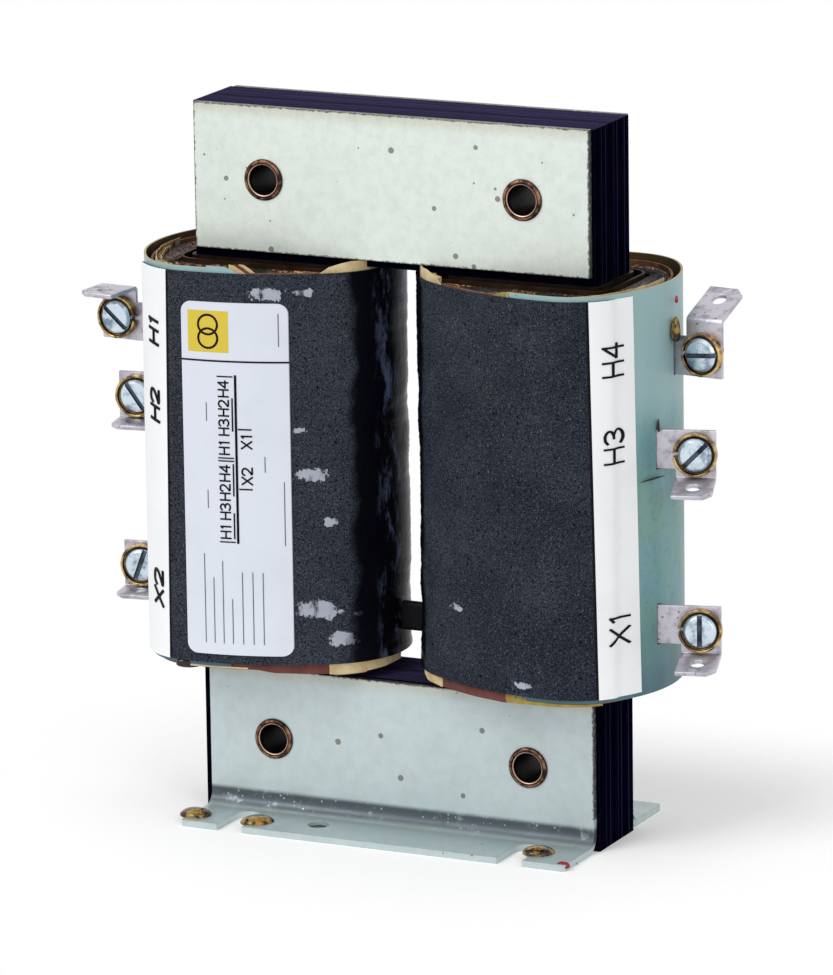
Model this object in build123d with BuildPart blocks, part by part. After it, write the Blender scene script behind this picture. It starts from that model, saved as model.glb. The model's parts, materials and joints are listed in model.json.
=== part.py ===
"""Control transformer, open core-and-coil pattern, with screw terminals.

Millimetres. X runs along the yokes, Y runs through the lamination stack with the front at -Y, Z is up.
The origin is the centre of the core's underside, level with the undersides of the two feet.
"""
from build123d import *
from math import atan2, cos, hypot, radians, sin, sqrt
import os

os.makedirs("parts", exist_ok=True)

# Core: straight strips in books, lapped at the four corners
window_width = 29.6
window_height = 97.8
limb_width = 36.0
stack_depth = 19.2
book_count = 6
fit_gap = 0.1

# Rivets through the four corners
rivet_radius = 4.1
rivet_wall = 0.6
rivet_flange_radius = 4.9
rivet_flange_height = 0.7
rivet_side_offset = 0.7
rivet_rise = 0.8

# Clamp plates on the upper yoke and angle brackets on the lower yoke
plate_thickness = 1.6
plate_side_gap = 0.8
plate_bottom_gap = 1.8
bracket_left_gap = 2.0
bracket_right_gap = 0.8
bracket_top_gap = 0.4
bracket_bend_radius = 3.0
foot_reach = 18.2
foot_slot_spacing = 72.0
foot_slot_width = 6.4
foot_slot_depth = 12.8
foot_corner_radius = 1.0
earth_hole_radius = 2.5
earth_hole_offset = 16.8
earth_hole_setback = 9.9

# Coils, built outwards from the legs: each build is measured from the steel to the tape's outside
coil_bottom_gap = 4.4
coil_top_gap = 0.6
belly_offset = 13.2
window_build_depth = 11.5
side_build_depth = 15.4
face_build_depth = 17.7
tape_thickness = 0.8
tape_edge_depth = 6.8
wrap_clearance = 0.1
sheet_thickness = 0.5
sheet_overhang = 1.0
sheet_edge_offset = 3.0
kraft_thickness = 0.5
kraft_overhang = 1.6
kraft_side_gap = 1.5
kraft_back_gap = 2.4
winding_recess = 1.6
former_clearance = 0.3
former_wall = 1.0
former_end_gap = 0.3
former_corner_radius = 2.4
inner_winding_depth = 1.8
barrier_thickness = 0.6
layer_gap = 0.1
filler_width = 10.6
filler_front_gap = 0.4
filler_drop = 3.2

# Marker strips and label on the tape
strip_thickness = 0.3
right_strip_offset = 23.3
right_strip_width = 6.9
label_strip_gap = 5.2
left_strip_width = 9.6
label_thickness = 0.3
label_window_offset = 11.8
label_width = 24.9
label_height = 83.8
label_bottom_offset = 2.2
label_corner_radius = 2.5

# Sleeved lead across the window and the lead end under the left coil
crossover_height = 7.0
crossover_thickness = 2.4
crossover_offset = 8.7
lead_end_width = 2.6
lead_end_thickness = 1.4
lead_end_drop = 3.4
lead_end_offset = 15.3
lead_end_clearance = 0.3

# Terminal tabs: stamped strip with a pad and a bent lug
tab_thickness = 1.0
strip_above = 5.5
strip_below = 3.6
pad_half_width = 4.65
tab_bend_radius = 0.8
lug_hole_radius = 1.75
lug_hole_setback = 4.6
lug_corner = 2.0
slit_clearance = 0.3
tab_tail_gap = 0.2

# Where the terminals sit: heights above the coil's end, slit offsets behind the leg's middle
low_terminal_height = 13.8
middle_terminal_height = 55.0
h1_terminal_height = 75.0
h4_terminal_height = 77.2
left_slit_offset = 4.0
right_slit_offset = -6.4
h1_slit_offset = -3.0
h4_slit_offset = 2.2
h1_tab_length = 9.8
h2_tab_length = 8.4
x2_tab_length = 8.1
h4_tab_length = 7.9
h3_tab_length = 8.6
x1_tab_length = 9.7
lug_drop_height = 6.0
h1_lug_height = 7.0
h4_lug_height = 7.8
left_lug_length = 8.5
right_lug_length = 10.2
h1_lug_length = 11.6
h4_lug_length = 12.0

# Directions in degrees: each tab's swing to the rear, the bend of its lug, and where its screw slot stopped
h1_tab_turn = -4
left_tab_turn = 8
h4_tab_turn = -7
h3_tab_turn = 16
x1_tab_turn = 14
h1_lug_bend = 90
left_lug_bend = 88
h4_lug_bend = -65
right_lug_bend = 78
h1_slot_turn = -40
h2_slot_turn = -55
x2_slot_turn = 70
h4_slot_turn = 5
h3_slot_turn = 45
x1_slot_turn = 90

# Terminal screws and split cup washers
screw_radius = 2.08
screw_length = 7.0
screw_head_radius = 3.9
screw_head_height = 2.0
screw_head_round = 0.6
slot_width = 1.1
slot_depth = 1.0
running_clearance = 0.06
washer_radius = 5.1
washer_floor = 0.7
washer_rim_wall = 0.55
washer_height = 1.8
washer_split = 0.9

# Worked out from the sizes above
core_width = window_width + 2 * limb_width
leg_centre = (window_width + limb_width) / 2
core_height = window_height + 2 * limb_width
window_bottom = limb_width
window_top = limb_width + window_height
half_stack = stack_depth / 2
book_depth = stack_depth / book_count
rivet_hole_radius = rivet_radius + fit_gap
lower_rivet_level = limb_width / 2 + rivet_rise
upper_rivet_level = core_height - limb_width / 2 + rivet_rise
rivet_columns = (rivet_side_offset - leg_centre, rivet_side_offset + leg_centre)
plate_face = half_stack + plate_thickness
coil_bottom = window_bottom + coil_bottom_gap
coil_top = window_top - coil_top_gap
window_reach = limb_width / 2 + window_build_depth
outer_reach = limb_width / 2 + side_build_depth
coil_depth = half_stack + face_build_depth
sheet_inset = tape_thickness + wrap_clearance
kraft_inset = sheet_inset + sheet_thickness + wrap_clearance
winding_bottom = coil_bottom + winding_recess
winding_top = coil_top - winding_recess
former_half_x = limb_width / 2 + former_clearance + former_wall
former_half_y = half_stack + former_clearance + former_wall
inner_winding_outset = layer_gap + inner_winding_depth
barrier_outset = inner_winding_outset + layer_gap
outer_winding_outset = barrier_outset + barrier_thickness + layer_gap
washer_face = tab_thickness / 2 + washer_floor


def finish(piece, name):
    """Name the piece and write it to its own file."""
    piece.part.label = name
    export_step(piece.part, f"parts/{name}.step")


def book_level(number):
    """Middle of a book of strips along Y, counted from the front."""
    return -half_stack + (number + 0.5) * book_depth


# Core limbs. On even books the legs run the full height, on odd books the yokes run the full width.
def core_limb(centre, long_size, short_size, rivet_centres, long_on_even):
    """One limb of the core as a stack of alternately long and short strips."""
    with BuildPart() as limb:
        for number in range(book_count):
            is_long = (number % 2 == 0) == long_on_even
            width, height = long_size if is_long else short_size
            with BuildSketch(Plane.XZ.offset(-book_level(number))):
                with Locations(centre):
                    Rectangle(width, height)
                if is_long:
                    with Locations(*rivet_centres):
                        Circle(rivet_hole_radius, mode=Mode.SUBTRACT)
            extrude(amount=book_depth / 2, both=True)
    return limb


for side, side_name in ((-1, "left"), (1, "right")):
    leg = core_limb(
        (side * leg_centre, core_height / 2),
        (limb_width, core_height),
        (limb_width, window_height),
        [(rivet_side_offset + side * leg_centre, level) for level in (lower_rivet_level, upper_rivet_level)],
        True,
    )
    finish(leg, f"{side_name}_leg_laminations")

for middle, level, level_name in (
    (window_bottom - limb_width / 2, lower_rivet_level, "lower"),
    (window_top + limb_width / 2, upper_rivet_level, "upper"),
):
    yoke = core_limb(
        (0, middle),
        (core_width, limb_width),
        (window_width, limb_width),
        [(column, level) for column in rivet_columns],
        False,
    )
    finish(yoke, f"{level_name}_yoke_laminations")

# Clamp plates, flat against the front and the rear of the upper yoke
plate_height = limb_width - plate_bottom_gap
for facing, facing_name in ((-1, "front"), (1, "rear")):
    with BuildPart() as clamp_plate:
        with BuildSketch(Plane.XZ.offset(-facing * (half_stack + plate_thickness / 2))):
            with Locations((0, core_height - plate_height / 2)):
                Rectangle(core_width - 2 * plate_side_gap, plate_height)
            for column in rivet_columns:
                with Locations((column, upper_rivet_level)):
                    Circle(rivet_hole_radius, mode=Mode.SUBTRACT)
        extrude(amount=plate_thickness / 2, both=True)
    finish(clamp_plate, f"{facing_name}_clamp_plate")

# Foot brackets: a folded angle, then the open slots, the earth hole and the rivet holes
bracket_height = limb_width - bracket_top_gap
bracket_width = core_width - bracket_left_gap - bracket_right_gap
bracket_centre = (bracket_left_gap - bracket_right_gap) / 2
for facing, facing_name in ((-1, "front"), (1, "rear")):
    foot_edge = facing * (half_stack + foot_reach)
    middle = facing * (half_stack + plate_thickness / 2)
    with BuildPart() as bracket:
        with BuildSketch(Plane.YZ.offset(bracket_centre)):
            with BuildLine():
                FilletPolyline(
                    (middle, bracket_height),
                    (middle, plate_thickness / 2),
                    (foot_edge, plate_thickness / 2),
                    radius=bracket_bend_radius + plate_thickness / 2,
                )
            trace(line_width=plate_thickness)
        extrude(amount=bracket_width / 2, both=True)
        foot_tip = bracket.faces().sort_by(Axis.Y)[0 if facing < 0 else -1]
        fillet(foot_tip.edges().filter_by(Axis.Z), foot_corner_radius)
        with BuildSketch(Plane.XY):
            for slot_x in (-foot_slot_spacing / 2, foot_slot_spacing / 2):
                with Locations((slot_x, foot_edge - facing * (foot_slot_depth - foot_slot_width / 2))):
                    Circle(foot_slot_width / 2)
                with Locations((slot_x, foot_edge - facing * (foot_slot_depth - foot_slot_width / 2) / 2)):
                    Rectangle(foot_slot_width, foot_slot_depth - foot_slot_width / 2)
            with Locations((facing * earth_hole_offset, facing * (half_stack + earth_hole_setback))):
                Circle(earth_hole_radius)
        extrude(amount=plate_thickness, mode=Mode.SUBTRACT)
        with BuildSketch(Plane.XZ.offset(-middle)):
            for column in rivet_columns:
                with Locations((column, lower_rivet_level)):
                    Circle(rivet_hole_radius)
        extrude(amount=plate_thickness, both=True, mode=Mode.SUBTRACT)
    finish(bracket, f"{facing_name}_foot_bracket")

# Tubular rivets with a flange at each end
rivet_tip = plate_face + rivet_flange_height
flange_wall = rivet_flange_radius - rivet_radius + rivet_wall
for column, side_name in zip(rivet_columns, ("left", "right")):
    for level, level_name in ((lower_rivet_level, "lower"), (upper_rivet_level, "upper")):
        with BuildPart() as rivet:
            with BuildSketch(Plane.XY):
                with Locations((column + rivet_radius - rivet_wall / 2, 0)):
                    Rectangle(rivet_wall, 2 * rivet_tip)
                for facing in (-1, 1):
                    with Locations((column + rivet_flange_radius - flange_wall / 2, facing * rivet_tip)):
                        Rectangle(flange_wall, 2 * rivet_flange_height)
                with Locations((column, 0)):
                    Rectangle(4 * rivet_flange_radius, 2 * rivet_tip, mode=Mode.INTERSECT)
            revolve(axis=Axis((column, 0, 0), (0, 1, 0)))
        rivet.part.position = (0, 0, level)
        finish(rivet, f"{level_name}_{side_name}_rivet")


# Coil outlines in plan: two touching arcs in each quarter, which meet at the coil's widest points
def side_radius(reach, depth):
    """Radius of the arc on the coil's side, between the window or outer point and the corner."""
    diagonal = hypot(reach, depth)
    return diagonal * (diagonal - reach + depth) / (2 * reach)


def add_quarter(belly, x_way, y_way, reach, depth, inset):
    """Add one quarter of an outline to the open line: a side arc and a face arc."""
    radius = side_radius(reach, depth)
    turn = atan2(reach, depth)
    centre_x = belly + x_way * (reach - radius)
    joint_x = centre_x + x_way * (radius - inset) * cos(turn)
    joint_y = y_way * (radius - inset) * sin(turn)
    TangentArc((belly + x_way * (reach - inset), 0), (joint_x, joint_y), tangent=(0, y_way))
    TangentArc((belly, y_way * (depth - inset)), (joint_x, joint_y), tangent=(x_way, 0))


def coil_outline(side, outer, back, inset):
    """Add the rounded coil outline to the open sketch, drawn in by an inset."""
    belly = side * (leg_centre + belly_offset)
    with BuildLine() as outline:
        for y_way, depth in ((-1, coil_depth), (1, back)):
            add_quarter(belly, side, y_way, outer - belly_offset, depth, inset)
            add_quarter(belly, -side, y_way, window_reach + belly_offset, depth, inset)
    make_face(outline.edges())


def tape_outline(side, inset):
    """The outline of the dark tape wrap, drawn in by an inset."""
    coil_outline(side, outer_reach, coil_depth, inset)


def kraft_outline(side, inset):
    """The outline of the kraft wrap, tight to the winding and loose from the sheet at the back."""
    coil_outline(side, outer_reach - kraft_side_gap, coil_depth - kraft_back_gap, kraft_inset + inset)


def reach_at(outer, depth, inset, y):
    """How far an outline stands from the leg's centre at a distance in front of or behind it."""
    radius = side_radius(outer - belly_offset, depth)
    return outer - radius + sqrt((radius - inset) ** 2 - y**2)


def box_outline(side, outset, mode=Mode.ADD):
    """A rounded rectangle round the former, let out by an outset."""
    with Locations((side * leg_centre, 0)):
        RectangleRounded(
            2 * (former_half_x + outset),
            2 * (former_half_y + outset),
            former_corner_radius + outset,
            mode=mode,
        )


def keep_range(side, start, end, front_only):
    """Keep the part of the open sketch between two distances from the leg's centre."""
    depth = coil_depth + tape_thickness
    middle = (side * (leg_centre + (start + end) / 2), -depth / 2 if front_only else 0)
    with Locations(middle):
        Rectangle(end - start, depth if front_only else 2 * depth, mode=Mode.INTERSECT)


for side, side_name in ((-1, "left"), (1, "right")):
    with BuildPart() as former:
        with BuildSketch(Plane.XY.offset(window_bottom + former_end_gap)):
            box_outline(side, 0)
            with Locations((side * leg_centre, 0)):
                Rectangle(
                    2 * (former_half_x - former_wall),
                    2 * (former_half_y - former_wall),
                    mode=Mode.SUBTRACT,
                )
        extrude(amount=window_height - 2 * former_end_gap)
    finish(former, f"{side_name}_coil_former")

    with BuildPart() as inner_winding:
        with BuildSketch(Plane.XY.offset(winding_bottom)):
            box_outline(side, inner_winding_outset)
            box_outline(side, layer_gap, mode=Mode.SUBTRACT)
        extrude(amount=winding_top - winding_bottom)
    finish(inner_winding, f"{side_name}_inner_winding")

    with BuildPart() as barrier:
        with BuildSketch(Plane.XY.offset(coil_bottom)):
            box_outline(side, barrier_outset + barrier_thickness)
            box_outline(side, barrier_outset, mode=Mode.SUBTRACT)
        extrude(amount=coil_top - coil_bottom)
    finish(barrier, f"{side_name}_barrier_paper")

    with BuildPart() as outer_winding:
        with BuildSketch(Plane.XY.offset(winding_bottom)):
            kraft_outline(side, kraft_thickness + layer_gap)
            box_outline(side, outer_winding_outset, mode=Mode.SUBTRACT)
        extrude(amount=winding_top - winding_bottom)
    finish(outer_winding, f"{side_name}_outer_winding")

    with BuildPart() as kraft_wrap:
        with BuildSketch(Plane.XY.offset(coil_bottom - kraft_overhang)):
            kraft_outline(side, 0)
        extrude(amount=coil_top - coil_bottom + kraft_overhang - layer_gap)
        with BuildSketch(Plane.XY.offset(coil_bottom - kraft_overhang)):
            kraft_outline(side, kraft_thickness)
        extrude(amount=coil_top - coil_bottom + kraft_overhang, mode=Mode.SUBTRACT)
        with BuildSketch(Plane.XY.offset(coil_bottom)):
            kraft_outline(side, -kraft_thickness)
            keep_range(side, -window_reach, filler_width - window_reach, False)
        extrude(amount=-kraft_overhang, mode=Mode.SUBTRACT)
    finish(kraft_wrap, f"{side_name}_kraft_wrap")

    # Cream paper pads on the winding's ends, at the front corner beside the window
    for end_name, level, amount in (
        ("upper", winding_top, window_top - layer_gap - winding_top),
        ("lower", winding_bottom, coil_bottom - filler_drop - winding_bottom),
    ):
        with BuildPart() as filler:
            with BuildSketch(Plane.XY.offset(level)):
                kraft_outline(side, kraft_thickness + layer_gap)
                box_outline(side, outer_winding_outset, mode=Mode.SUBTRACT)
                keep_range(side, -window_reach, filler_width - window_reach, True)
                with Locations((side * leg_centre, -half_stack - filler_front_gap - coil_depth / 2)):
                    Rectangle(2 * window_reach, coil_depth, mode=Mode.INTERSECT)
            extrude(amount=amount)
        finish(filler, f"{side_name}_{end_name}_filler_paper")

    with BuildPart() as tape_wrap:
        with BuildSketch(Plane.XY.offset(coil_bottom)):
            tape_outline(side, 0)
            keep_range(side, -window_reach - tape_thickness, outer_reach - tape_edge_depth, False)
        extrude(amount=coil_top - coil_bottom)
        with BuildSketch(Plane.XY.offset(coil_bottom)):
            tape_outline(side, tape_thickness)
        extrude(amount=coil_top - coil_bottom, mode=Mode.SUBTRACT)
    finish(tape_wrap, f"{side_name}_tape_wrap")


def skin_on_tape(side, start, end, bottom, top, thickness):
    """A thin skin on the front of the tape wrap, in the open part."""
    with BuildSketch(Plane.XY.offset(bottom)) as skin:
        tape_outline(side, -thickness)
        keep_range(side, start, end, True)
    extrude(skin.sketch, amount=top - bottom)
    with BuildSketch(Plane.XY.offset(bottom)) as backing:
        tape_outline(side, 0)
    extrude(backing.sketch, amount=top - bottom, mode=Mode.SUBTRACT)


left_strip_offset = label_width - label_window_offset + label_strip_gap
for side, side_name, start, width in (
    (-1, "left", left_strip_offset, left_strip_width),
    (1, "right", right_strip_offset, right_strip_width),
):
    with BuildPart() as marker_strip:
        skin_on_tape(side, start, start + width, coil_bottom, coil_top, strip_thickness)
    finish(marker_strip, f"{side_name}_marker_strip")

label_bottom = coil_bottom + label_bottom_offset
label_middle = label_window_offset - leg_centre - label_width / 2
with BuildPart() as rating_label:
    skin_on_tape(
        -1,
        -label_window_offset - label_corner_radius,
        label_width - label_window_offset + label_corner_radius,
        label_bottom - label_corner_radius,
        label_bottom + label_height + label_corner_radius,
        label_thickness,
    )
    with BuildSketch(Plane.XZ):
        with Locations((label_middle, label_bottom + label_height / 2)):
            RectangleRounded(label_width, label_height, label_corner_radius)
    extrude(amount=coil_depth + tape_thickness, mode=Mode.INTERSECT)
finish(rating_label, "rating_label")

# Sleeved lead across the window, from one coil to the other
window_gap = leg_centre - window_reach
with BuildPart() as crossover_lead:
    with BuildSketch(Plane.YZ):
        with Locations((0, coil_bottom + crossover_offset)):
            RectangleRounded(crossover_thickness, crossover_height, crossover_thickness / 2 - layer_gap)
    extrude(amount=window_gap - layer_gap / 2, both=True)
finish(crossover_lead, "crossover_lead")

# Sleeved lead end that hangs from the underside of the left outer winding
lead_end_y = former_half_y + outer_winding_outset + lead_end_clearance + lead_end_thickness / 2
with BuildPart() as lead_end:
    with BuildSketch(Plane.XY.offset(winding_bottom)):
        with Locations((lead_end_offset - leg_centre, -lead_end_y)):
            RectangleRounded(lead_end_width, lead_end_thickness, lead_end_thickness / 2 - layer_gap)
    extrude(amount=coil_bottom - lead_end_drop - winding_bottom)
finish(lead_end, "left_lead_end")


# Terminals: where each tab leaves its slit, which way it points, and how its lug is bent
class Terminal:
    """One terminal: its place on the coil, its directions and its planes."""

    def __init__(self, name, side, slit, tab_turn, tab_length, lug, slot_turn):
        rise, slit_y = slit
        self.name = name
        self.side = side
        self.lug_side, self.lug_rise, self.lug_length, lug_bend = lug
        self.lug_bend = radians(lug_bend)
        self.slot_turn = slot_turn
        along = Vector(cos(radians(tab_turn)), sin(radians(tab_turn)), 0)
        self.outward = along * side
        self.facing = Vector(along.Y, -along.X, 0)
        sheet_x = reach_at(outer_reach, coil_depth, sheet_inset, slit_y)
        kraft_depth = coil_depth if slit_y < 0 else coil_depth - kraft_back_gap
        kraft_x = reach_at(outer_reach - kraft_side_gap, kraft_depth, kraft_inset, slit_y)
        self.centre = Vector(side * (leg_centre + sheet_x), slit_y, coil_bottom + rise) + self.outward * tab_length
        self.tail = tab_length + (sheet_x - kraft_x) / along.X - tab_tail_gap
        self.face_plane = Plane(origin=self.centre, x_dir=along, z_dir=self.facing)
        self.fold_plane = Plane(origin=self.centre, x_dir=self.facing, z_dir=along * -1)
        self.turned_plane = Plane(origin=self.centre, x_dir=along, z_dir=(0, 0, -1))
        self.axis = Axis(self.centre, self.facing)


def add_strip(terminal, clearance, mode):
    """The straight strip of a tab, or with a clearance the slit that it passes through."""
    tail = terminal.tail + clearance
    middle = -terminal.side * tail / 2
    height = strip_above + strip_below + 2 * clearance
    with BuildSketch(terminal.face_plane) as strip:
        with Locations((middle, -terminal.lug_side * (strip_above - strip_below) / 2)):
            Rectangle(tail, height)
    extrude(strip.sketch, amount=tab_thickness / 2 + clearance, both=True, mode=mode)


h1_lug = (1, h1_lug_height, h1_lug_length, h1_lug_bend)
h4_lug = (1, h4_lug_height, h4_lug_length, h4_lug_bend)
left_lug = (-1, lug_drop_height, left_lug_length, left_lug_bend)
right_lug = (-1, lug_drop_height, right_lug_length, right_lug_bend)
h1_slit = (h1_terminal_height, h1_slit_offset)
h4_slit = (h4_terminal_height, h4_slit_offset)
h2_slit = (middle_terminal_height, left_slit_offset)
h3_slit = (middle_terminal_height, right_slit_offset)
x2_slit = (low_terminal_height, left_slit_offset)
x1_slit = (low_terminal_height, right_slit_offset)
terminals = [
    Terminal("h1", -1, h1_slit, h1_tab_turn, h1_tab_length, h1_lug, h1_slot_turn),
    Terminal("h2", -1, h2_slit, left_tab_turn, h2_tab_length, left_lug, h2_slot_turn),
    Terminal("x2", -1, x2_slit, left_tab_turn, x2_tab_length, left_lug, x2_slot_turn),
    Terminal("h4", 1, h4_slit, h4_tab_turn, h4_tab_length, h4_lug, h4_slot_turn),
    Terminal("h3", 1, h3_slit, h3_tab_turn, h3_tab_length, right_lug, h3_slot_turn),
    Terminal("x1", 1, x1_slit, x1_tab_turn, x1_tab_length, right_lug, x1_slot_turn),
]

for side, side_name in ((-1, "left"), (1, "right")):
    with BuildPart() as insulating_sheet:
        with BuildSketch(Plane.XY.offset(coil_bottom - sheet_overhang)):
            tape_outline(side, sheet_inset)
            keep_range(side, sheet_edge_offset, outer_reach, False)
        extrude(amount=coil_top - coil_bottom + 2 * sheet_overhang)
        with BuildSketch(Plane.XY.offset(coil_bottom - sheet_overhang)):
            tape_outline(side, sheet_inset + sheet_thickness)
        extrude(amount=coil_top - coil_bottom + 2 * sheet_overhang, mode=Mode.SUBTRACT)
        for terminal in terminals:
            if terminal.side == side:
                add_strip(terminal, slit_clearance, Mode.SUBTRACT)
    finish(insulating_sheet, f"{side_name}_insulating_sheet")

for terminal in terminals:
    lug_side = terminal.lug_side
    bend = terminal.lug_bend
    lug_direction = Vector(sin(bend), lug_side * cos(bend), 0)
    fold = Vector(0, lug_side * terminal.lug_rise, 0)
    lug_tip = fold + lug_direction * terminal.lug_length
    lug_eye = fold + lug_direction * (terminal.lug_length - lug_hole_setback)
    with BuildPart() as tab:
        with BuildSketch(terminal.fold_plane):
            with BuildLine():
                FilletPolyline((0, -lug_side * strip_above), fold, lug_tip, radius=tab_bend_radius)
            trace(line_width=tab_thickness)
        extrude(amount=pad_half_width, both=True)
        tip_direction = terminal.fold_plane.from_local_coords(lug_direction) - terminal.centre
        tip_face = tab.faces().sort_by(Axis(terminal.centre, tip_direction))[-1]
        tip_corners = tip_face.edges().sort_by(SortBy.LENGTH)[:2]
        chamfer(tip_corners.sort_by(Axis(terminal.centre, terminal.outward))[-1], lug_corner)
        add_strip(terminal, 0, Mode.ADD)
        with Locations(terminal.face_plane):
            Hole(screw_radius + running_clearance)
        eye_origin = terminal.fold_plane.from_local_coords(lug_eye)
        eye_normal = tip_direction.cross(terminal.outward)
        with Locations(Plane(origin=eye_origin, x_dir=terminal.outward, z_dir=eye_normal)):
            Cylinder(lug_hole_radius, 2 * tab_thickness, mode=Mode.SUBTRACT)
    finish(tab, f"{terminal.name}_terminal_tab")

    bore = screw_radius + running_clearance
    floor_level = tab_thickness / 2
    rim_level = floor_level + washer_height
    rim_inside = washer_radius - washer_rim_wall
    with BuildPart() as cup_washer:
        with BuildSketch(terminal.turned_plane):
            with BuildLine():
                Polyline(
                    (bore, floor_level),
                    (washer_radius, floor_level),
                    (washer_radius, rim_level),
                    (rim_inside, rim_level),
                    (rim_inside, washer_face),
                    (bore, washer_face),
                    close=True,
                )
            make_face()
        revolve(axis=terminal.axis)
        with BuildSketch(terminal.face_plane.offset(floor_level)):
            with Locations((-terminal.side * washer_radius, 0)):
                Rectangle(washer_radius, washer_split)
        extrude(amount=washer_height, mode=Mode.SUBTRACT)
    finish(cup_washer, f"{terminal.name}_cup_washer")

    head_level = washer_face + screw_head_height
    tip_level = washer_face - screw_length
    with BuildPart() as screw:
        with BuildSketch(terminal.turned_plane) as screw_profile:
            with BuildLine():
                Polyline(
                    (0, tip_level),
                    (screw_radius, tip_level),
                    (screw_radius, washer_face),
                    (screw_head_radius, washer_face),
                    (screw_head_radius, head_level),
                    (0, head_level),
                    close=True,
                )
            make_face()
        revolve(axis=terminal.axis)
        chamfer(screw.edges().filter_by(GeomType.CIRCLE).sort_by(terminal.axis)[-1], screw_head_round)
        with BuildSketch(terminal.face_plane.offset(head_level)):
            with Locations(Location((0, 0, 0), (0, 0, terminal.slot_turn))):
                Rectangle(2 * screw_head_radius, slot_width)
        extrude(amount=-slot_depth, mode=Mode.SUBTRACT)
    finish(screw, f"{terminal.name}_terminal_screw")
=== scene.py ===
# %% [markdown]
# A control transformer of the open kind: a laminated iron core stands on two folded feet, and
# each of its legs carries a wrapped coil. Stamped tabs with screws stick out at both sides for
# the wires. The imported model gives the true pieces. This script gives each of them its finish,
# and adds what a machine drawing leaves out: the wire in the coils, wrinkles in the tape, print,
# varnish and threads.

# %% Load the frame
import bpy
import bmesh
import json
import math
import numpy as np
from mathutils import Matrix, Vector


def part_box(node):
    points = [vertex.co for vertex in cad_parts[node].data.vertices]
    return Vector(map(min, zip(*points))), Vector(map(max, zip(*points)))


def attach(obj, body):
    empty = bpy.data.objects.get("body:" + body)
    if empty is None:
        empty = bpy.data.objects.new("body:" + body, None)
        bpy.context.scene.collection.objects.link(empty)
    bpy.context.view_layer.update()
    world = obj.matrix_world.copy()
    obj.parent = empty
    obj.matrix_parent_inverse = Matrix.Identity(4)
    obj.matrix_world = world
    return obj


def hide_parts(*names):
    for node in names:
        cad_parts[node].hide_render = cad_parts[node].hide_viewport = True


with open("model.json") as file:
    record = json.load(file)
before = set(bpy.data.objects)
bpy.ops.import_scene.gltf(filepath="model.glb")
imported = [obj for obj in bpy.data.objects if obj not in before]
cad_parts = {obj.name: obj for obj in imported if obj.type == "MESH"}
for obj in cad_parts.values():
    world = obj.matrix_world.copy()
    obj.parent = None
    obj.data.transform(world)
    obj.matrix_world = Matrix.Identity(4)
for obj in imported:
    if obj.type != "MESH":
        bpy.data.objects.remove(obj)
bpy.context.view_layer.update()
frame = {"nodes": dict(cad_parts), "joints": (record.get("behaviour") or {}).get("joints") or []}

# %% [markdown]
# All places below come from the frame's own boxes, so a changed part keeps its looks. A few
# distances that a box can't tell, such as the tape's thickness, are said again here.

# %% Measures in metres
MM = 0.001
SIDES = {"left": -1, "right": 1}


def node_box(name):
    """Lowest and highest corner of a node, as two vectors."""
    low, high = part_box(name)
    return Vector(low), Vector(high)


tape_low, tape_high = node_box("right_tape_wrap")
core_low, core_high = node_box("right_leg_laminations")
_, sheet_high = node_box("right_insulating_sheet")
kraft_low, kraft_high = node_box("right_kraft_wrap")
leg_centre = (core_low.x + core_high.x) / 2
belly_offset = 13.2 * MM
tape_thickness = 0.8 * MM
sheet_inset = 0.9 * MM
coil_bottom = tape_low.z
coil_top = tape_high.z
coil_depth = tape_high.y
window_reach = leg_centre - tape_low.x
outer_reach = sheet_high.x + sheet_inset - leg_centre
tape_edge = tape_high.x - leg_centre
kraft_inset = coil_depth + kraft_low.y
kraft_outer = kraft_high.x + kraft_inset - leg_centre
kraft_back = kraft_high.y + kraft_inset
print("leg centre", round(leg_centre / MM, 2), "mm to the side")
print("coil from", round(coil_bottom / MM, 1), "to", round(coil_top / MM, 1), "mm")

# %% [markdown]
# Seen from above, a coil is a soft oval. Each quarter of it is two arcs that touch, one on the
# side and one on the face, and the quarters meet at the coil's widest points. A spline could
# follow the same line, but arcs give the surface's normal for free.

# %% The coil's outline
def quarter(reach, depth):
    """Radii of the side arc and the face arc of a quarter, and the angle where they touch."""
    diagonal = math.hypot(reach, depth)
    side_arc = diagonal * (diagonal - reach + depth) / (2 * reach)
    face_arc = diagonal * (diagonal + reach - depth) / (2 * depth)
    return side_arc, face_arc, math.atan2(reach, depth)


def outline(side, outer, back, steps):
    """The coil's outline as points and outward normals, from the outer point round by the front."""
    belly = side * (leg_centre + belly_offset)
    points, normals = [], []
    quarters = [
        (side, -1, outer - belly_offset, coil_depth, False),
        (-side, -1, window_reach + belly_offset, coil_depth, True),
        (-side, 1, window_reach + belly_offset, back, False),
        (side, 1, outer - belly_offset, back, True),
    ]
    for x_way, y_way, reach, depth, from_face in quarters:
        side_arc, face_arc, turn = quarter(reach, depth)
        angles = [turn * i / steps for i in range(steps)]
        angles += [turn + (math.pi / 2 - turn) * i / steps for i in range(steps)]
        if from_face:
            angles = [math.pi / 2 - (math.pi / 2 - turn) * i / steps for i in range(steps)]
            angles += [turn - turn * i / steps for i in range(steps)]
        for angle in angles:
            normal = Vector((x_way * math.cos(angle), y_way * math.sin(angle), 0))
            if angle < turn:
                centre, radius = Vector((belly + x_way * (reach - side_arc), 0, 0)), side_arc
            else:
                centre, radius = Vector((belly, y_way * (depth - face_arc), 0)), face_arc
            points.append(centre + normal * radius)
            normals.append(normal)
    return points, normals


print("points on a coarse outline", len(outline(1, outer_reach, coil_depth, 4)[0]))

# %% [markdown]
# Papers, print and marks lie on the front of a coil. Their places are given as on the flat paper:
# so far outwards from the leg's centre, and so high up. The outline's arcs tell where that is.

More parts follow.
